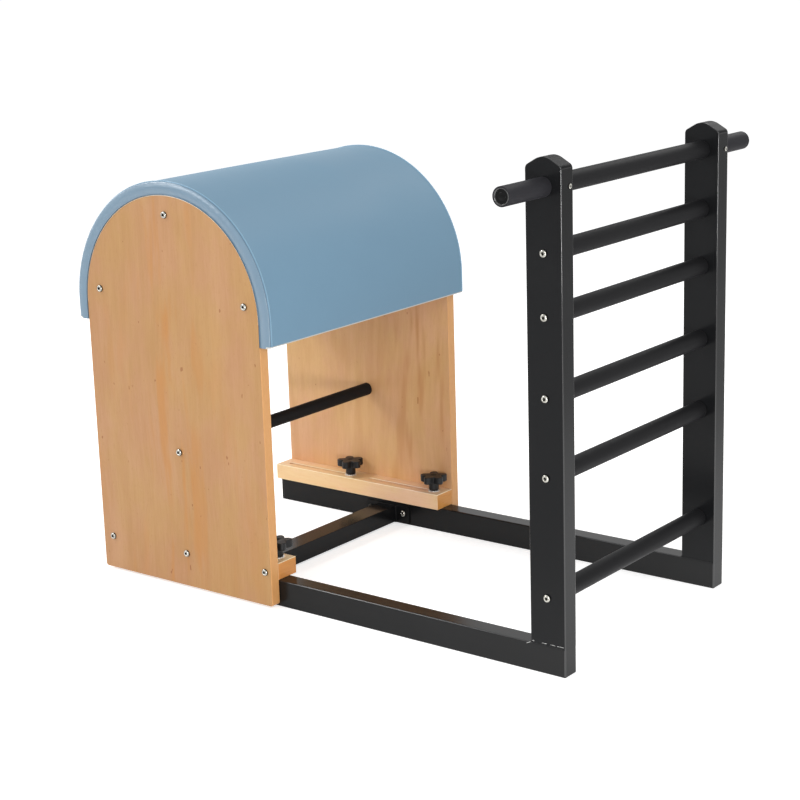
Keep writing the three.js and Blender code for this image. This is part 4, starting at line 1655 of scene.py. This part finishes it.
@dataclass
class Pad(Assembly):
    """The foam pad in its sewn cover, bent over the barrel."""

    body: ClassVar[str] = "barrel"

    seat_gap: float = 0.1 * MM
    thickness: float = 29.2 * MM
    crown: float = 0.8 * MM
    overhang: float = 1.5 * MM
    side_bulge: tuple[tuple[float, float], ...] = (
        (2.8, 0), (2.0, 2.2), (1.25, 4.8), (0.65, 7.8), (0.25, 10.6), (0.05, 12.9))
    shoulder: tuple[float, float] = (4.6 * MM, 14 * MM)
    skirts: tuple[float, float] = (49 * MM, 40 * MM)
    hem: float = 5.5 * MM
    welt_inset: float = 7.0 * MM
    welt_width: float = 1.0 * MM
    welt_height: float = 1.7 * MM
    groove: float = 1.3 * MM
    groove_inset: float = 4.7 * MM
    # Insets of the seam's band, which takes a darker vinyl as painted shade, and of the welt's band, which
    # takes a lighter one as painted highlight; the side band ends where the seam's band begins.
    seam: tuple[float, float] = (3.6 * MM, 5.6 * MM)
    welt_highlight_band: tuple[float, float] = (6.4 * MM, 8.3 * MM)
    hem_line: tuple[float, float] = (0.1 * MM, 3.2 * MM)
    hem_line_share: float = 0.6
    shoulder_steps: int = 10
    margin_step: float = 0.45 * MM
    margin_steps: int = 14
    sheet_steps: int = 22
    hem_steps: int = 5
    arch_steps: int = 110
    held_hem: int = 6
    loose_hem: int = 8
    loose_reach: float = 60 * MM
    loose_share: float = 0.85
    swell_cap: float = 2.4 * MM
    pressure: float = 4.0
    stretch_stiffness: float = 25
    bend_stiffness: float = 2
    settle_frames: int = 20

    def welt(self, inward: float) -> float:
        """The height that the sewn welt adds.

        Args:
            inward: The distance in from the pad's side.

        Returns:
            The height, which is below zero in the groove beside the welt.
        """
        ridge = self.welt_height * math.exp(-((inward - self.welt_inset) / self.welt_width) ** 2)
        groove = self.groove * math.exp(-((inward - self.groove_inset) / self.welt_width) ** 2)
        return ridge - groove

    def section(self, half: float) -> list[Point]:
        """The pad's outer section, from one lower edge to the other.

        Args:
            half: Half the pad's width.

        Returns:
            Pairs of place across and height.
        """
        across, tall = self.shoulder
        top = self.thickness - self.crown
        side = [(half - inset * MM, height * MM) for inset, height in self.side_bulge]
        corner = []
        for c, s in arc((0.0, 0.0), 1.0, 0, math.pi / 2, self.shoulder_steps):
            inward = across * (1 - c)
            corner.append((half - inward, top - tall * (1 - s) + s ** 4 * self.welt(inward)))
        lip = [across + i * self.margin_step for i in range(1, self.margin_steps + 1)]
        margin = [(half - d, top + self.welt(d)) for d in lip]
        field_start = half - lip[-1]
        sheet = [field_start * (1 - i / self.sheet_steps) for i in range(1, self.sheet_steps + 1)]
        crest = [(y, top + self.crown * (1 - (y / field_start) ** 2)) for y in sheet]
        right = [*side, *corner, *margin, *crest]
        return right + [(-y, h) for y, h in reversed(right[:-1])]

    def foot(self, skirt: float) -> list[Point]:
        """The places along a skirt, from its rounded hem up.

        Args:
            skirt: The skirt's length below the arch's centre.

        Returns:
            Pairs of drop below the arch's centre and share of the pad's height that is kept there.
        """
        steps = self.hem_steps
        angles = [math.pi / 2 * i / steps for i in range(steps + 1)]
        lower = [(skirt - self.hem * (1 - math.cos(a)), 1 - self.hem * (1 - math.sin(a)) / self.thickness)
                 for a in angles]
        return [*lower, *((lower[-1][0] * (1 - i / steps), 1.0) for i in range(1, steps))]

    def stations(self, radius: float) -> list[tuple[Vector, Vector, float]]:
        """Places along the pad's path, from the front hem to the back one.

        Args:
            radius: The radius of the pad's seat.

        Returns:
            For each, its point on the seat from the arch's centre, the way outward and the height it keeps.
        """
        front, back = (
            [(Vector((sign * radius, 0, -drop)), Vector((sign, 0, 0)), keep)
             for drop, keep in self.foot(skirt)]
            for sign, skirt in zip((1, -1), self.skirts))
        back.reverse()
        ring = [math.pi * i / self.arch_steps for i in range(self.arch_steps + 1)]
        outward = [Vector((math.cos(a), 0, math.sin(a))) for a in ring]
        return [*front, *((way * radius, way, 1.0) for way in outward), *back]

    def cage(self, centre: Vector, radius: float, half: float) -> tuple[bpy.types.Mesh, list[float]]:
        """The closed cover before it swells.

        Args:
            centre: The arch's centre at mid width.
            radius: The radius of the pad's seat.
            half: Half the pad's width.

        Returns:
            The mesh, and how firmly each of its points is held.
        """
        section = self.section(half)
        count = len(section)
        verts: list[Vector] = []
        hold: list[float] = []
        stations = self.stations(radius)
        for level in (1.0, 0.0):
            for number, (seat, outward, keep) in enumerate(stations):
                for across, height in section:
                    lifted = height * level * (keep if height > 0 else 1.0)
                    verts.append(centre + seat + outward * lifted + Vector((0, across, 0)))
                    inward = half - abs(across)
                    near_hem = min(number, len(stations) - 1 - number)
                    off_welt = max(0.0, inward - self.welt_inset - 3 * self.welt_width)
                    loose = min(1.0, off_welt / self.loose_reach)
                    loose = min(loose, max(0.0, near_hem - self.held_hem) / self.loose_hem)
                    hold.append(1.0 if level == 0 else 1.0 - self.loose_share * loose)
        faces: list[tuple[int, ...]] = []
        inner = len(stations) * count
        for s in range(len(stations) - 1):
            for i in range(count - 1):
                a = s * count + i
                faces.append((a, a + 1, a + count + 1, a + count))
                faces.append((inner + a, inner + a + count, inner + a + count + 1, inner + a + 1))
            for i in (0, count - 1):
                a = s * count + i
                faces.append((a, a + count, inner + a + count, inner + a))
        for s in (0, len(stations) - 1):
            for i in range(count - 1):
                a = s * count + i
                faces.append((a, a + 1, inner + a + 1, inner + a))
        mesh = bpy.data.meshes.new("pad_cover")
        mesh.from_pydata(verts, [], faces)
        mesh.update()
        return mesh, hold

    def swell(self, piece: bpy.types.Object, hold: list[float]) -> None:
        """Lets the cover settle under the foam's pressure, and keeps what it moves within a cap.

        Args:
            piece: The cover.
            hold: How firmly each point is held, from 0 to 1.
        """
        rest = [v.co.copy() for v in piece.data.vertices]
        group = piece.vertex_groups.new(name="held")
        for index, weight in enumerate(hold):
            group.add([index], weight, "REPLACE")
        cloth = piece.modifiers.new("settle", "CLOTH")
        cloth.settings.vertex_group_mass = group.name
        cloth.settings.quality = 4
        cloth.settings.tension_stiffness = self.stretch_stiffness
        cloth.settings.compression_stiffness = self.stretch_stiffness
        cloth.settings.bending_stiffness = self.bend_stiffness
        cloth.settings.use_pressure = True
        cloth.settings.uniform_pressure_force = self.pressure
        cloth.settings.effector_weights.gravity = 0
        cloth.collision_settings.use_collision = False
        scene = bpy.context.scene
        for number in range(1, self.settle_frames + 1):
            scene.frame_set(number)
        settled = piece.evaluated_get(bpy.context.evaluated_depsgraph_get())
        moved = [v.co.copy() for v in settled.data.vertices]
        piece.modifiers.remove(cloth)
        piece.vertex_groups.remove(group)
        scene.frame_set(1)
        for vertex, start, end in zip(piece.data.vertices, rest, moved):
            shift = end - start
            if shift.length > self.swell_cap:
                shift = shift.normalized() * self.swell_cap
            vertex.co = start + shift
        reach = max((end - start).length for start, end in zip(rest, moved))
        LOG.info("pad cover settled by up to %.1f mm", reach / MM)

    def mark_sewing(self, cover: bpy.types.Mesh, centre: Vector, radius: float, half: float) -> None:
        """Gives the side bands and the hem lines their finishes, paints shade into the seams and paints a
        highlight onto the welts.

        Args:
            cover: The cover's mesh.
            centre: The arch's centre at mid width.
            radius: The panels' radius.
            half: Half the pad's width.
        """
        mark(cover, 1, lambda face: half - abs(face.center.y) < self.seam[0])
        for number, (start, end) in ((2, self.seam), (3, self.welt_highlight_band)):
            mark(cover, number, lambda face: start < half - abs(face.center.y) < end)
        start, end = self.hem_line
        reach = radius + self.hem_line_share * self.thickness
        for sign, skirt in zip((1, -1), self.skirts):
            low = centre.z - skirt
            mark(cover, 4, lambda face: sign * (face.center.x - centre.x) > reach
                 and low + start < face.center.z < low + end)

    def build(self) -> None:
        """Builds the pad."""
        panel = span("end_panel_left")
        radius = panel.size.x / 2
        half = panel.high.y + self.overhang
        centre = Vector((panel.centre.x, 0.0, panel.high.z - radius))
        mesh, hold = self.cage(centre, radius + self.seat_gap, half)
        piece = bpy.data.objects.new("pad_cover_sewn", mesh)
        bpy.context.scene.collection.objects.link(piece)
        self.swell(piece, hold)
        bm = bmesh.new()
        bm.from_mesh(piece.data)
        bpy.data.objects.remove(piece)
        cover = mesh_of("sewn_pad_cover", bm, 60)
        self.mark_sewing(cover, centre, radius, half)
        looks = self.looks
        cover = self.dress("sewn_pad_cover", cover, ["pad_cover", "foam_pad"], looks.vinyl, looks.vinyl_band,
                           looks.vinyl_seam_shade_paint, looks.vinyl_welt, looks.vinyl_hem)
        finer = cover.modifiers.new("finer", "SUBSURF")
        finer.levels = 1
        finer.render_levels = 1


@dataclass
class StarKnobs(Assembly):
    """The four clamping knobs with their washers and studs."""

    head: float = 66 * MM
    valley: float = 20 * MM
    thickness: float = 17 * MM
    edge: float = 2.2 * MM
    hub: float = 24 * MM
    hub_bevel: tuple[float, float] = (1.8 * MM, 2.4 * MM)
    fillet: tuple[float, float] = (1.5 * MM, 0.3 * MM)
    washer: float = 29 * MM
    washer_thickness: float = 2.5 * MM
    washer_gap: float = 0.3 * MM
    washer_foot_bevel: float = 0.4 * MM
    washer_bevel: float = 0.6 * MM
    washer_sink: float = 0.1 * MM
    stud: float = 8 * MM
    stud_bevel: float = 0.6 * MM
    dimple: float = 17 * MM
    dimple_depth: float = 2.2 * MM
    dimple_bevel: tuple[float, float] = (0.6 * MM, 0.4 * MM)
    lobes: int = 5
    softness: float = 0.35
    steps: int = 160
    turns: dict[str, float] = field(default_factory=lambda: {
        "left_back": 0.174, "left_front": 0.147, "right_back": 0.16, "right_front": 0.127})

    def reach(self, angle: float, inset: float) -> float:
        """The head's radius.

        Args:
            angle: The angle from a lobe.
            inset: What is taken off.

        Returns:
            The radius.
        """
        wave = math.cos(angle * self.lobes / 2)
        soft = self.softness
        shape = (math.hypot(wave, soft) - soft) / (math.hypot(1, soft) - soft)
        return self.valley + (self.head / 2 - self.valley) * shape - inset

    def head_rings(self, top: Vector, foot: float, turn: float) -> Rings:
        """The rings of a head from its hub's foot to the dimple in its top.

        Args:
            top: The middle of the head's top.
            foot: The height of the hub's foot.
            turn: The angle of its first lobe.

        Returns:
            The rings.
        """
        angles = [math.tau * i / self.steps for i in range(self.steps)]

        def ring(radii: Sequence[float], height: float) -> list[Vector]:
            """The ring with a radius for each angle, at a height."""
            middle = Vector((top.x, top.y, height))
            return [middle + Vector((r * math.cos(a), r * math.sin(a), 0)) for r, a in zip(radii, angles)]

        def round_ring(radius: float, height: float) -> list[Vector]:
            """The round ring of a radius, at a height."""
            return ring([radius] * self.steps, height)

        hub = self.hub / 2
        inward, rise = self.hub_bevel
        spread, drop = self.fillet
        rings = [round_ring(0.0, foot), round_ring(hub - inward, foot), round_ring(hub, foot + rise),
                 round_ring(hub, top.z + (-self.thickness - spread)),
                 round_ring(hub + spread, top.z + (-self.thickness - drop))]
        low = top.z - self.thickness
        for inset, place in edge_profile(self.thickness, self.edge, 5):
            rings.append(ring([self.reach(a - turn, inset) for a in angles], low + place))
        dimple = self.dimple / 2
        outward, sink = self.dimple_bevel
        for radius, depth in ((dimple + outward, 0.0), (dimple, sink),
                              (self.dimple / 4, 0.8 * self.dimple_depth), (0.0, self.dimple_depth)):
            rings.append(round_ring(radius, top.z - depth))
        return rings

    def washer_profile(self, drop: float) -> list[Point]:
        """The stud and its washer as one turned profile.

        Args:
            drop: The height of the stud's end, from the washer's underside.

        Returns:
            Pairs of radius and height.
        """
        bore = self.stud / 2
        rim = self.washer / 2
        top = self.washer_thickness
        return [
            (0.0, drop), (bore - self.stud_bevel, drop), (bore, drop + self.stud_bevel), (bore, 0.0),
            (rim - self.washer_foot_bevel, 0.0), (rim, self.washer_foot_bevel),
            (rim, top - self.washer_bevel), (rim - self.washer_bevel, top - self.washer_sink),
            (0.0, top - self.washer_sink),
        ]

    def build(self) -> None:
        """Builds all four knobs."""
        joints = {joint["child"]: joint for joint in frame["joints"]}
        for label, share in self.turns.items():
            node = f"star_knob_{label}"
            body = f"knob_{label}"
            place = Vector(joints[body]["pos_m"])
            box = span(node)
            seat = span(f"cleat_{label.split('_')[0]}").high.z + self.washer_gap
            top = Vector((place.x, place.y, box.high.z))
            bm = bmesh.new()
            join_rings(bm, self.head_rings(top, seat + self.washer_thickness, math.tau * share), cap=False)
            mesh = mesh_of(node, bm, 40)
            self.dress(f"knob_head_{label}", mesh, [node], self.looks.knob_plastic, body=body)
            profile = self.washer_profile(box.low.z - seat)
            mesh = turned("washer", Axis.Z, Vector((place.x, place.y, seat)), profile)
            self.dress(f"knob_washer_stud_{label}", mesh, [], self.looks.washer, body=body)


@dataclass
class Studio:
    """The camera of the photograph, a pale floor, soft lamps and a white surround."""

    camera_place: tuple[float, float, float] = (2.5004, -3.2209, 1.4541)
    camera_target: tuple[float, float, float] = (0.10562, -0.13591, 0.45)
    roll: float = math.radians(-1.7666)
    focal_pixels: float = 1894.2
    frame_pixels: float = 800
    sensor: float = 36
    far: float = 200
    floor_reach: float = 60
    floor_shades: tuple[float, float] = (0.80, 0.82)
    surround: float = 0.5
    floor_glow: float = 0.62
    pool_centre: tuple[float, float, float] = (1.5, 0.0, 0.0)
    pool_reach: tuple[float, float] = (0.4, 1.9)
    pool_light: tuple[float, float] = (2.5, 0.65)
    aim: tuple[float, float, float] = (0.0, 0.0, 0.45)
    lamps: tuple[tuple[str, tuple[float, float, float], tuple[float, float], float], ...] = (
        ("key", (-2.9, -3.6, 2.2), (1.4, 1.4), 36),
        ("front_fill", (2.8, -2.6, 2.4), (1.6, 1.6), 47),
        ("corner_strip", (2.35, -2.75, 0.42), (0.4, 0.5), 40),
        ("left_softbox", (-2.7, -1.4, 3.1), (1.2, 1.2), 50),
        ("right_softbox", (2.9, 3.2, 1.4), (1.6, 1.0), 5),
        ("back_softbox", (-3.4, 0.4, 1.1), (2.6, 1.4), 34),
        ("rear_top", (0.2, 3.4, 3.0), (1.8, 1.6), 28),
        ("overhead", (0.0, 0.6, 4.2), (3.0, 3.0), 10),
    )

    def camera(self) -> None:
        """The camera, at the photograph's viewing angle."""
        data = bpy.data.cameras.new("camera")
        data.sensor_width = self.sensor
        data.lens = self.focal_pixels / self.frame_pixels * self.sensor
        data.clip_end = self.far
        camera = bpy.data.objects.new("camera", data)
        bpy.context.scene.collection.objects.link(camera)
        place = Vector(self.camera_place)
        back = (place - Vector(self.camera_target)).normalized()
        level = Vector((0, 0, 1)).cross(back).normalized()
        upright = back.cross(level)
        right = level * math.cos(self.roll) + upright * math.sin(self.roll)
        up = upright * math.cos(self.roll) - level * math.sin(self.roll)
        turn = Matrix((right, up, back)).transposed()
        camera.matrix_world = Matrix.Translation(place) @ turn.to_4x4()
        bpy.context.scene.camera = camera

    def mirrored(self, shader: Shader) -> bpy.types.NodeSocket:
        """A mask for what shows in a reflection or through glass."""
        path = shader.add("LightPath").outputs
        return shader.maths("MAXIMUM", path["Is Glossy Ray"], path["Is Transmission Ray"])

    def seen(self, shader: Shader, mirrored: bpy.types.NodeSocket) -> bpy.types.NodeSocket:
        """A mask that adds what the camera sees straight to a mask for what shows in a reflection."""
        return shader.maths("MAXIMUM", shader.add("LightPath").outputs["Is Camera Ray"], mirrored)

    def floor(self) -> None:
        """The pale floor, which takes the object's shadow and glows below the ladder in reflections."""
        reach = self.floor_reach
        mesh = bpy.data.meshes.new("floor")
        corners = [(-reach, -reach, 0), (reach, -reach, 0), (reach, reach, 0), (-reach, reach, 0)]
        mesh.from_pydata([Vector(c) for c in corners], [], [(0, 1, 2, 3)])
        material, shader = new_material("pale_floor")
        place = shader.place()
        speckle = shader.limits(shader.noise(place, 3.0, 2.0), 0.3, 0.7)
        shades = [grey(shade) for shade in self.floor_shades]
        base = shader.add("BsdfDiffuse", {"Color": shader.blend(speckle, *shades)})
        between = shader.add("VectorMath", {0: place, 1: self.pool_centre}, operation="DISTANCE")
        away = between.outputs["Value"]
        pool = shader.limits(away, *self.pool_reach, *self.pool_light)
        light = self.seen(shader, shader.maths("MULTIPLY", self.mirrored(shader), pool))
        strength = shader.maths("MULTIPLY", light, self.floor_glow)
        glow = shader.add("Emission", {"Color": grey(1.0), "Strength": strength})
        total = shader.add("AddShader", {0: base.outputs[0], 1: glow.outputs[0]})
        shader.add("OutputMaterial", {"Surface": total.outputs[0]})
        mesh.materials.append(material)
        floor = bpy.data.objects.new("floor", mesh)
        bpy.context.scene.collection.objects.link(floor)

    def surroundings(self) -> None:
        """The white surround, dimmer where it only lights the object."""
        world = bpy.data.worlds.new("surround")
        world.use_nodes = True
        world.node_tree.nodes.clear()
        shader = Shader(world.node_tree)
        seen = self.seen(shader, self.mirrored(shader))
        strength = shader.maths("MULTIPLY_ADD", seen, 1 - self.surround, self.surround)
        light = shader.add("Background", {"Color": grey(1.0), "Strength": strength})
        shader.add("OutputWorld", {"Surface": light.outputs[0]})
        bpy.context.scene.world = world

    def lighting(self) -> None:
        """The soft lamps, each aimed at the object's middle."""
        for name, place, size, power in self.lamps:
            data = bpy.data.lights.new(name, "AREA")
            data.shape = "RECTANGLE"
            data.size, data.size_y = size
            data.energy = power
            lamp = bpy.data.objects.new(name, data)
            lamp.location = place
            lamp.visible_camera = False
            lamp.rotation_euler = (Vector(self.aim) - Vector(place)).to_track_quat("-Z", "Y").to_euler()
            bpy.context.scene.collection.objects.link(lamp)

    def build(self) -> None:
        """Sets the whole studio."""
        bpy.context.scene.view_settings.view_transform = "Standard"
        self.camera()
        self.floor()
        self.surroundings()
        self.lighting()


def main() -> None:
    """Builds the object's sub-assemblies and the studio."""
    logging.basicConfig(level=logging.INFO, format="%(name)s: %(message)s")
    dresser = Dresser()
    looks = Finishes()
    Studio().build()
    for part in (BaseFrame, Ladder, Barrel, Pad, StarKnobs):
        part(dresser, looks).build()
        LOG.info("%s done", part.__name__)


if __name__ == "__main__":
    main()
